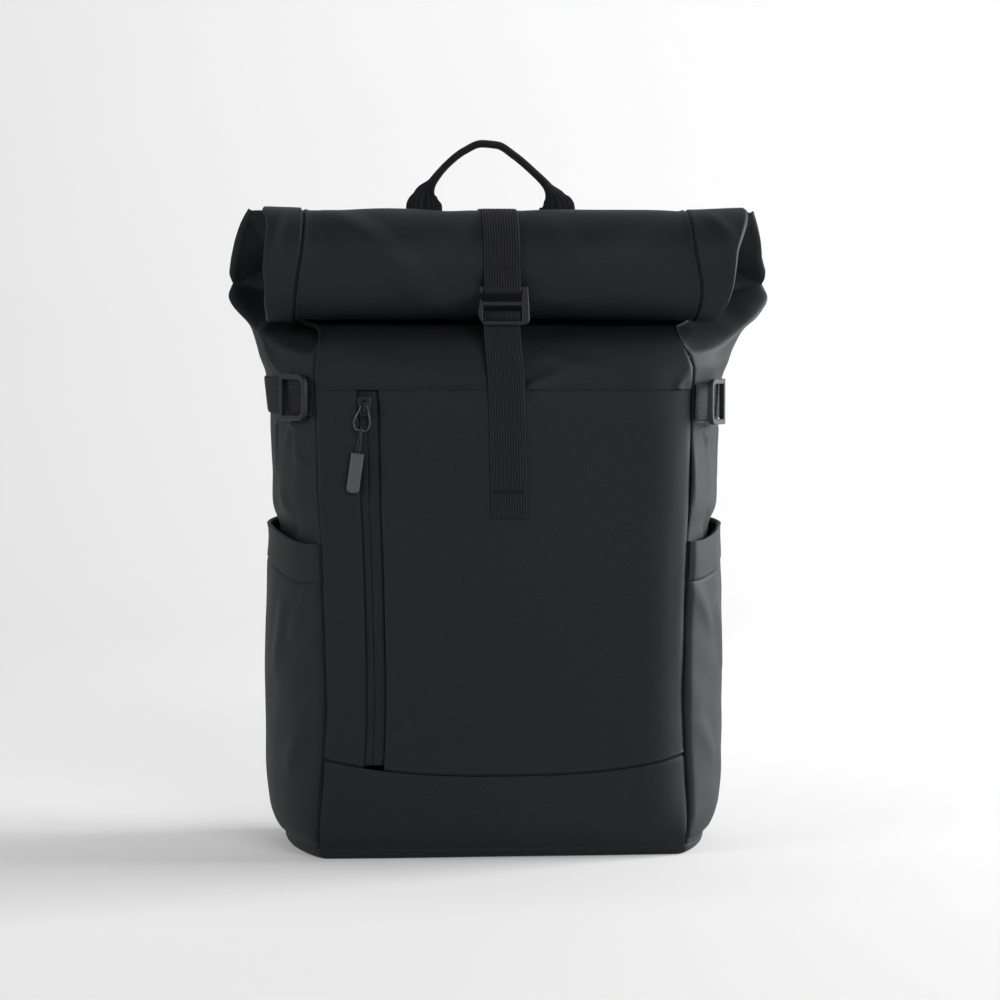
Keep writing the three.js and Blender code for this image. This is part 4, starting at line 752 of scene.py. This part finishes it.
def stitches(name, rows):
    """Rows of stitches: each row is a path of places with the outward way at each place."""
    points, faces = [], []
    for places, ways in rows:
        places = np.asarray(places, float)
        ways = np.broadcast_to(np.asarray(ways, float), places.shape)
        run = distances(places)
        for begin in np.arange(0.4, run[-1] - STITCH_LONG, STITCH_LONG + STITCH_GAP):
            t = begin + STITCH_LONG * np.array((0, 0.16, 0.5, 0.84, 1))
            middle, way = rows_at(places, run, t), unit(rows_at(ways, run, t))
            beside = np.cross(unit(middle[-1] - middle[0]), way)
            middle = middle + way * np.array((-0.5, 0.05, 0.14, 0.05, -0.5))[:, None] * STITCH_THICK
            turn = np.linspace(0, 2 * np.pi, 6, endpoint=False)[None, :, None]
            rings = middle[:, None] + STITCH_THICK / 2 * (
                beside[:, None] * np.cos(turn) + way[:, None] * np.sin(turn))
            faces += [tuple(len(points) + k for k in face) for face in grid_faces(5, 6, round_cols=True)]
            points += rings.reshape(-1, 3).tolist()
    return mesh_piece(name, points, faces, thread_black, "webbing")


roll_face = float(roll_place((180 - ROLL_START) / 360, -0.7 + WEBBING_THICK)[0]) - 0.05
stitches("closure_stitches", [row_across(np.array((STRAP_X, roll_face, z)), (0, -1, 0))
                              for z in (401.6, 402.8)])


# Hook
# Flat steel hook, blanked, tumbled and painted black. The paint is worn to the metal along its
# edges.
hook_black, tree = new_material("black_enamel_on_steel")
orange_peel = add(tree, "TexNoise", {"Scale": every(1.11), "Detail": 1.0})
surface(tree, {
    "Base Color": "#101113", "Roughness": 0.42, "Specular IOR Level": 0.35,
    "Normal": add(tree, "Bump", {"Height": orange_peel, "Distance": 0.00003, "Strength": 0.4})})

# The same steel where the paint is worn off: bare and pale in streaks between dark ones.
worn_edge, tree = new_material("worn_steel_edge")
scuffs = add(tree, "TexNoise", {"Scale": every(2.38), "Detail": 4.0})
bare = add(tree, "MapRange", {0: scuffs, 1: 0.42, 2: 0.6})
surface(tree, {
    "Base Color": add(tree, "MixRGB", {0: bare, 1: "#4A4C4E", 2: "#A6A8AA"}),
    "Metallic": bare, "Roughness": 0.34})


def dress(node, face, edge, reach):
    """Gives a rigid piece its material, with a rounded edge of another one; reach in millimetres."""
    piece = nodes[node]
    piece.data.materials.clear()
    piece.data.materials.append(face)
    piece.data.materials.append(edge)
    rounding = piece.modifiers.new("edge", "BEVEL")
    rounding.width, rounding.segments, rounding.limit_method = reach / 1000, 2, "ANGLE"
    rounding.angle_limit, rounding.material, rounding.harden_normals = math.radians(35), 1, False
    piece.data.shade_smooth()


dress("hook", hook_black, worn_edge, 0.3)


# Hook's webbing loop on the front
# The same webbing, folded round the hook's lower bar, sewn down above the pocket seam, and sewn
# on again near its end. Its outer face is woven in checks.
def on_front_middle(z, lift):
    """Place over the front at the strap's middle, and the way out of it."""
    level = level_at(z)
    way = normal_on(front_surface, 1, 0.5, level)
    place = front_surface(0.5, level) + way * lift
    place[0] = STRAP_X + (CLOSURE_TOP - z) * STRAP_SLANT
    return place, way


LOOP_STITCH, LOOP_END, HOOK_FOOT, LOOP_AIR, LOOP_BEND = 326, 233, HOOK_TOP - HOOK_HIGH, 0.3, 0.95
fold_y = HOOK_Y + HOOK_WALL / 2 + LOOP_AIR + WEBBING_THICK + LOOP_BEND
fold, fold_way = half_turn(fold_y, HOOK_FOOT + HOOK_BAR + HOOK_HIGH * 0.2, LOOP_AIR, True)
rear, rear_way = on_front_middle(LOOP_STITCH + 2, LOOP_AIR + WEBBING_THICK)
parts = [([rear], [-rear_way]), (fold[::-1] + (STRAP_X, 0, 0), fold_way[::-1]),
         ([(STRAP_X, fold_y - LOOP_BEND, HOOK_FOOT - 4)], [(0, -0.995, 0.1)])]
for z in np.linspace(LOOP_STITCH, LOOP_END, 40):
    doubled = float(step(z, LOOP_STITCH - 16, LOOP_STITCH))
    place, way = on_front_middle(z, LOOP_AIR + (WEBBING_THICK + LOOP_AIR) * doubled)
    parts.append(([place], [way]))
places, ways = (np.concatenate([part[i] for part in parts]) for i in (0, 1))
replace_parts(webbing_band("hook_loop_webbing", places, (1, 0, 0), ways, "checks"), "hook_loop_strap")
stitches("hook_loop_stitches", [row_across(*on_front_middle(z, lift)) for z, lift in (
    (LOOP_STITCH + 1.5, 3.6), (LOOP_END + 18.5, 1.95), (LOOP_END + 17.2, 1.95))])


# Side bands and side loops
# Webbing across each side wall, caught in the front and back seams, with a moulded nylon D loop on
# it. The band is folded double in the loop's window and leaves a dark slot beside its rear bar.
def on_side(side, share, z, lift):
    """Places at a height over a side wall, and the ways out of it."""
    share, z, lift = np.broadcast_arrays(share, z, lift)
    level = level_at(z)
    way = normal_on(side_surface(side), side, share, level)
    return side_surface(side)(share, level) + way * lift[..., None], way


# Height of each loop's middle, and where it starts behind the front seam.
LOOP_MIDDLE, LOOP_START, LOOP_WINDOW = {-1: 314.5, 1: 311.0}, {-1: 1.0, 1: 13.0}, 21.5
for side, ending in SIDES:
    middle = LOOP_MIDDLE[side]
    share = np.linspace(0.004, 0.996, 150)
    run = distances(on_side(side, share, middle, 0.0)[0])
    slot_at = LOOP_START[side] + LOOP_WINDOW
    doubled = step(slot_at - run, 0, 0.8) * step(run, LOOP_START[side] + 1, LOOP_START[side] + 5)
    lift = 0.7 + 1.5 * doubled - 0.5 * hill(run - slot_at - 1.2, 0.9)
    half = WEBBING_WIDE / 2
    low, high = (on_side(side, share, z, lift)[0] for z in (middle - half, middle + half))
    place, way = on_side(side, share, middle, lift)
    band = webbing_band(f"side_webbing_{ending}", place, high - low, way, "checks")
    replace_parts(band, f"side_band_{ending}")

# Loops of nylon moulded in a matt die, with a painted highlight in pale grey on their rounded edges.
nylon_grey, tree = new_material("moulded_nylon")
matt = add(tree, "TexNoise", {"Scale": every(0.625)})
surface(tree, {
    "Base Color": "#1B1D1F", "Roughness": 0.48, "Specular IOR Level": 0.35,
    "Normal": add(tree, "Bump", {"Height": matt, "Distance": 0.00003, "Strength": 0.5})})
# Painted highlight: pale grey streaks on the rounded edges, where light would catch them.
nylon_edge_highlight, tree = new_material("painted_highlight_nylon_edge")
edge_highlight_streaks = add(tree, "TexNoise", {"Scale": every(3.33)})
surface(tree, {
    "Base Color": add(tree, "MixRGB", {0: edge_highlight_streaks, 1: "#606264", 2: "#8A8C8E"}),
    "Roughness": 0.34})
for ending in ("left", "right"):
    dress(f"side_loop_{ending}", nylon_grey, nylon_edge_highlight, 0.4)


# Side pockets
# Flat patches of the same cloth, sewn on at the sides and the foot, with a turned hem at the mouth.
POCKET_FOOT, POCKET_HEM, POCKET_FRONT, POCKET_RISE = 12, 28, 216, 12
POCKET_AIR, POCKET_SPARE, HEM_ROWS = 0.7, 5.8, 36


def pocket_mouth(share):
    """Height of the mouth, lower at the front seam."""
    return POCKET_FRONT + POCKET_RISE * step(share, 0, 0.6)


def pocket_room(share, z):
    """Room between the side wall and the pocket."""
    rise = np.clip((z - POCKET_FOOT) / (pocket_mouth(share) - POCKET_FOOT), 0, 1)
    return POCKET_AIR + POCKET_SPARE * np.maximum(arch(share), 0) ** 0.7 * rise ** 0.35


for side, ending in SIDES:
    share = closer_at_edges(0.003, 0.03, 60)
    lift = 1.6 * step(np.minimum(share, 1 - share), 0, 0.03)
    mouth, seam_z = pocket_mouth(share), pocket_mouth(share) - POCKET_HEM
    t = np.linspace(0, 1, 110)[:, None]
    z = POCKET_FOOT + (mouth - 0.6 - POCKET_FOOT) * t
    room = pocket_room(share, z) + lift * step(z, 10, 30)
    u, v = runs(on_side(side, share, z, room)[0])
    sink = 1.2 * step(z, seam_z - 0.5, seam_z + 0.5)
    relief = (ripple(u, z, 31 + side, 50, 0.35) * step(z, 14, 60) + edge_roll(u, (1.2, 0.6), (1.2, 0.6))
              - sink + folds(u, z, [(8, 186, 34, 150, 9, 1.5, 0), (44, 176, 66, 120, 12, 1.4, 0),
                                    (10, 96, 40, 60, 12, 1.2, 0)]))
    place, _ = on_side(side, share, z, room + relief)
    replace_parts(cloth_piece(f"pocket_cloth_{ending}", place, 1.0, side < 0), f"side_pocket_{ending}")
    # The hem's foot sinks into its seam, and its last three rows turn over the mouth.
    t = np.concatenate([np.linspace(0, 1, HEM_ROWS), [1, 1, 0.985]])[:, None]
    z = seam_z + 0.4 + (POCKET_HEM - 0.4) * t
    sunk = 0.9 * hill(np.linspace(0, POCKET_HEM - 0.4, HEM_ROWS), 1.1)
    inward = np.concatenate([sunk, [0.5, 1.6, 2.0]])[:, None]
    room = pocket_room(share, np.minimum(z, mouth)) + 0.4 + lift - inward
    place, _ = on_side(side, share, z, room + ripple(u[:len(t)], z, 41 + side, 40, 0.4))
    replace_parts(cloth_piece(f"pocket_hem_cloth_{ending}", place, 0.8, side < 0), f"pocket_hem_{ending}")


# Zip
# Reverse coil zip, sewn under the edges of the two front cloths. Its coated tapes meet over the
# coil at a fine slit, so only the coil's ridge shows, as faint bars.

# Woven polyester tape with a matt coat over it, in which the coil's turns show faintly.
zip_tape_black, tree = new_material("coated_zip_tape")
split = add(tree, "SeparateXYZ", {0: add(tree, "UVMap")})
coil = waves(tree, split.outputs[1], 1.3)
surface(tree, {
    "Base Color": "#16181A", "Roughness": 0.62, "Specular IOR Level": 0.2,
    "Normal": add(tree, "Bump", {"Height": coil, "Distance": 0.00006, "Strength": 0.5})})
# Section of the tapes: distance from the coil, and depth under the front's face.
ZIP_SECTION = np.array([
    (-11, 2.9), (-9, 2.8), (-7.4, 2.5), (-6.4, 2.1), (-5.4, 1.6), (-4.2, 1.1), (-2.4, 0.95),
    (-1.4, 0.9), (-0.5, 0.95), (-0.2, 1.3), (0, 1.7), (0.2, 1.3), (0.5, 0.95), (1.4, 0.9),
    (2.4, 0.95), (4.6, 1.0), (6.4, 1.2), (7.4, 2.0), (9, 2.7), (11, 2.9)])
zip_low = float(bottom_seam(share_at(ZIP_MIDDLE - 11))) + 0.02
level = np.linspace(zip_low, yoke_level - 0.01, 200)[:, None]
share = share_at(ZIP_MIDDLE + ZIP_SECTION[:, 0])[None, :]
tape = front_surface(share, level)
tape = tape - normal_on(front_surface, 1, share, level) * ZIP_SECTION[None, :, 1:]
zip_tape = sheet_piece("zip_coil_tape", tape, zip_tape_black, "zip_coil", wall=0.8)
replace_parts(zip_tape, "zip_tape")

# Slider cast in zinc and enamelled black. Its pull is a pear-shaped loop of plated wire, which
# leans a little to the left.
dress("zip_slider", hook_black, worn_edge, 0.18)
WIRE_PLACE, WIRE_LEAN, WIRE_THICK = (-94.707, -78.400, 308.460), math.radians(8), 1.2
# Right half of the loop's outline from its top, across and up.
WIRE_OUTLINE = [(0, 1.2), (1.9, 0.4), (2.8, -2.5), (4.73, -7.65), (5.5, -11.9), (3.41, -15.6), (0, -15.8)]
leaned = np.array(WIRE_OUTLINE + [(-x, z) for x, z in WIRE_OUTLINE[-2:0:-1]]) @ (
    (math.cos(WIRE_LEAN), -math.sin(WIRE_LEAN)), (math.sin(WIRE_LEAN), math.cos(WIRE_LEAN)))
wire = np.insert(leaned, 1, 0, axis=1) + WIRE_PLACE
# The path overlaps itself so that it stays smooth; the ring is the stretch from top to top.
ring, _ = smooth_path([wire[-1], *wire, wire[0], wire[1]], 150)
from_top = np.linalg.norm(ring - wire[0], axis=1)
first = int(np.argmin(from_top[:40]))
last = first + 20 + int(np.argmin(from_top[first + 20:]))

# Steel wire plated in black nickel: dark, glossy, with faint pale scuffs.
wire_black, tree = new_material("black_nickel_wire")
scuffs = add(tree, "TexNoise", {"Scale": every(3.33)})
surface(tree, {"Base Color": add(tree, "MixRGB", {0: scuffs, 1: "#3A3B3D", 2: "#6A6B6D"}),
               "Metallic": 1.0, "Roughness": 0.3})
wire_loop = mesh_piece("wire_loop", *tube(ring[first:last], WIRE_THICK / 2, closed=True), wire_black,
                       "coated_metal")
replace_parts(wire_loop, "zip_wire_loop")

# Tab moulded in grey rubber in a matt die: soft light, no gloss.
tab_grey, tree = new_material("moulded_rubber_tab")
matt = add(tree, "TexNoise", {"Scale": every(0.667)})
surface(tree, {
    "Base Color": "#444547", "Roughness": 0.55,
    "Normal": add(tree, "Bump", {"Height": matt, "Distance": 0.00004, "Strength": 0.5})})
dress("zip_tab", tab_grey, tab_grey, 0.3)


# Haul handle
# Webbing sewn flat to the back, folded in two along its middle over the hand's width and sewn
# shut, so that it stands as a thin ribbed bow.
HANDLE_X, HANDLE_HALF, HANDLE_DOWN, HANDLE_UP, HANDLE_THICK, HANDLE_ROUND = -4, 46.5, 39, 46, 2.5, 36
# Place across, height over the closure, width and thickness from end to end, all as shares.
HANDLE = np.array([
    (-1.00, -1.00, 1.00, 0.40), (-1.00, -0.45, 1.00, 0.40), (-1.00, 0.03, 0.98, 0.44),
    (-0.98, 0.22, 0.62, 0.80), (-0.86, 0.42, 0.24, 2.10), (-0.66, 0.66, 0.20, 2.50),
    (-0.40, 0.87, 0.20, 2.60), (-0.14, 0.98, 0.20, 2.60), (0.10, 0.96, 0.20, 2.50),
    (0.36, 0.80, 0.20, 2.50), (0.62, 0.58, 0.20, 2.40), (0.84, 0.36, 0.24, 2.00),
    (0.96, 0.17, 0.62, 0.80), (1.00, 0.01, 0.98, 0.44), (1.00, -0.45, 1.00, 0.40),
    (1.00, -1.00, 1.00, 0.40)])
marks = np.linspace(0, len(HANDLE) - 1, 240)
along, rise, wide, thick = (column_curve(values)(marks) for values in HANDLE.T)
height = CLOSURE_TOP + rise * np.where(rise < 0, HANDLE_DOWN, HANDLE_UP)
depth = back_surface(0.5, level_at(np.minimum(height, CLOSURE_TOP - 2), "back"))[:, 1] + 3.7
handle_line = np.stack([HANDLE_X + along * HANDLE_HALF, depth, height], 1)
way = unit(np.gradient(handle_line, axis=0))
through = unit(np.array((0, 1, 0)) - way * way[:, 1:2])
across = np.cross(way, through)
turn = np.linspace(0, 2 * np.pi, 96, endpoint=False)
round_a, round_b = (np.sign(f(turn)) * np.abs(f(turn)) ** 0.75 for f in (np.cos, np.sin))
rib = 1 + 0.03 * np.cos(turn * 22)
section = (across[:, None] * (round_a * rib)[:, None] * (wide * WEBBING_WIDE / 2)[:, None, None]
           + through[:, None] * (round_b * rib)[:, None] * (thick * HANDLE_THICK)[:, None, None])
run = distances(handle_line)[:, None]
spots = np.stack(np.broadcast_arrays(turn / (2 * np.pi) * HANDLE_ROUND, run), -1)
handle = mesh_piece("handle_webbing", (handle_line[:, None] + section).reshape(-1, 3),
                    grid_faces(len(marks), len(turn), round_cols=True, flip=True, capped=True),
                    webbing_black, "webbing", spots.reshape(-1, 2) / 1000)
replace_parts(handle, "haul_handle")


# Back pad and shoulder straps
# Foam between two cloths: the pad is covered in spacer mesh, quilted in channels that let air
# through, and the straps in the same mesh with a bound edge.
FOAM_STEP, FILL_FRAMES = 4, 20

# Knitted spacer mesh: small open cells in a dull black knit, drawn at 3 mm as they are.
mesh_black, tree = new_material("spacer_mesh_knit")
cells = add(tree, "TexVoronoi", {"Scale": every(3.03)})
pores = add(tree, "MapRange", {0: cells.outputs["Distance"], 1: 0.12, 2: 0.42})
surface(tree, {
    "Base Color": add(tree, "MixRGB", {0: pores, 1: "#0C0D0E", 2: "#242628"}),
    "Roughness": 0.85,
    "Normal": add(tree, "Bump", {"Height": pores, "Distance": 0.0003, "Strength": 0.5})})


def vertex_places(data):
    """Places of a mesh's vertices, in metres."""
    places = np.zeros(len(data.vertices) * 3)
    data.vertices.foreach_get("co", places)
    return places.reshape(-1, 3)


def padded_piece(name, node, pressure, cap, press=None):
    """Foam that fills its cover: the solid is remeshed, smoothed and blown up as cloth, by at
    most cap millimetres, and press then moves its vertices."""
    source = nodes[node]
    data = source.data.copy()
    data.transform(source.matrix_world)
    data.materials.clear()
    data.materials.append(mesh_black)
    made = new_object(name, data)
    remesh = made.modifiers.new("even", "REMESH")
    remesh.mode, remesh.voxel_size = "VOXEL", FOAM_STEP / 1000
    even = made.modifiers.new("rounded", "SMOOTH")
    even.factor, even.iterations = 0.5, 6
    taken = bpy.data.meshes.new_from_object(made.evaluated_get(bpy.context.evaluated_depsgraph_get()))
    made.modifiers.clear()
    made.data = taken
    start = end = vertex_places(taken)
    blow = made.modifiers.new("fill", "CLOTH")
    blow.settings.use_pressure, blow.settings.uniform_pressure_force = True, pressure
    blow.settings.effector_weights.gravity = 0
    blow.point_cache.frame_start, blow.point_cache.frame_end = 1, FILL_FRAMES
    for number in range(1, FILL_FRAMES + 1):
        bpy.context.scene.frame_set(number)
    end = vertex_places(made.evaluated_get(bpy.context.evaluated_depsgraph_get()).to_mesh())
    made.modifiers.clear()
    bpy.context.scene.frame_set(1)
    move = end - start
    length = np.linalg.norm(move, axis=1)[:, None]
    places = start + move * np.minimum(1, cap / 1000 / np.maximum(length, 1e-9))
    if press:
        press(places)
    made.data.vertices.foreach_set("co", places.astype(np.float32).ravel())
    made.data.update()
    made.data.shade_smooth()
    finer = made.modifiers.new("finer", "SUBSURF")
    finer.levels = finer.render_levels = 1
    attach(made, "root")
    return made


SPINE_DEEP, SPINE_HALF, CHANNEL_DEEP, CHANNEL_HALF, CHANNELS = 4.5, 9, 2.6, 3.4, (120, 184, 248)


def channels(places):
    """Presses one channel down the middle of the pad's face and three bent ones across it."""
    x, y, z = places.T * 1000
    raised = np.clip((y - back_surface(0.5, level_at(z, "back"))[:, 1] - 1) / 6, 0, 1)
    channel = SPINE_DEEP * np.exp(-(x / SPINE_HALF) ** 4) + sum(
        CHANNEL_DEEP * hill(z - line + 8 * np.cos(x / 60), CHANNEL_HALF) for line in CHANNELS)
    places[:, 1] -= raised * np.minimum(channel, 5.0) / 1000


back_foam = padded_piece("back_foam", "back_pad", 4.0, 2.5, channels)
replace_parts(back_foam, "back_pad")
for ending in ("left", "right"):
    strap_foam = padded_piece(f"strap_foam_{ending}", f"shoulder_strap_{ending}", 3.0, 1.6)
    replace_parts(strap_foam, f"shoulder_strap_{ending}")


# Ladder buckles and their webbing
# A moulded buckle hangs from a folded tab at each strap's foot; the webbing from the base runs
# through it and ends in a tail.
STRAP_FOOT_Z, STRAP_OFF, STRAP_SPREAD, ANCHOR_Z, ANCHOR_IN = 78, 16.4, 96, 26, 22
BUCKLE_DROP, BUCKLE_HIGH, BUCKLE_BAR, BUCKLE_WALL = 7, 28, 3.4, 4
top = STRAP_FOOT_Z - BUCKLE_DROP
low = top - BUCKLE_HIGH + BUCKLE_BAR
foot_y = float(back_surface(0.5, level_at(STRAP_FOOT_Z, "back"))[1]) + STRAP_OFF
around = math.hypot(BUCKLE_WALL, BUCKLE_BAR) / 2 + 0.3
front_y, rear_y = foot_y - around, foot_y + around
anchor_level = level_at(ANCHOR_Z, "back")
anchor = back_surface(0.5, anchor_level) + normal_on(back_surface, -1, 0.5, anchor_level) * 0.7
near = float(anchor[1]) + WEBBING_THICK
for side, ending in SIDES:
    strap_x = side * STRAP_SPREAD
    anchor_x = side * (float(seam("back", 1, anchor_level)[0]) - ANCHOR_IN)
    # Its rounded edges carry the painted highlight of the nylon edge material.
    dress(f"strap_adjuster_{ending}", nylon_grey, nylon_edge_highlight, 0.6)
    # The tab goes round the buckle's upper bar, with both ends up in the strap's foot.
    turn, way = half_turn(foot_y, top - BUCKLE_BAR / 2, around, False)
    places = np.concatenate([[(0, front_y, top + 4.8)], turn, [(0, rear_y, top + 4.8)]]) + (strap_x, 0, 0)
    ways = np.concatenate([[(0, -1, 0)], way, [(0, 1, 0)]])
    tab_band = webbing_band(f"strap_tab_webbing_{ending}", places, (1, 0, 0), ways)
    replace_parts(tab_band, f"strap_tab_{ending}")
    # The long webbing comes up from the base, over the middle bar and down again.
    turn, way = half_turn(foot_y, top - 11.6, around, True)
    places = np.concatenate([
        [(anchor_x, near, ANCHOR_Z), (anchor_x, near + 1, ANCHOR_Z + 8),
         (anchor_x + (strap_x - anchor_x) * 0.6, near + (front_y - near) * 0.6,
          ANCHOR_Z + (low - ANCHOR_Z) * 0.7)],
        turn + (strap_x, 0, 0), [(strap_x, rear_y, low)]])
    ways = np.concatenate([[(0, -1, 0), (0, -1, 0.1), (0, -0.9, 0.3)], way, [(0, 1, 0)]])
    base_band = webbing_band(f"base_webbing_{ending}", places, (1, 0, 0), ways)
    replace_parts(base_band, f"adjuster_webbing_{ending}")
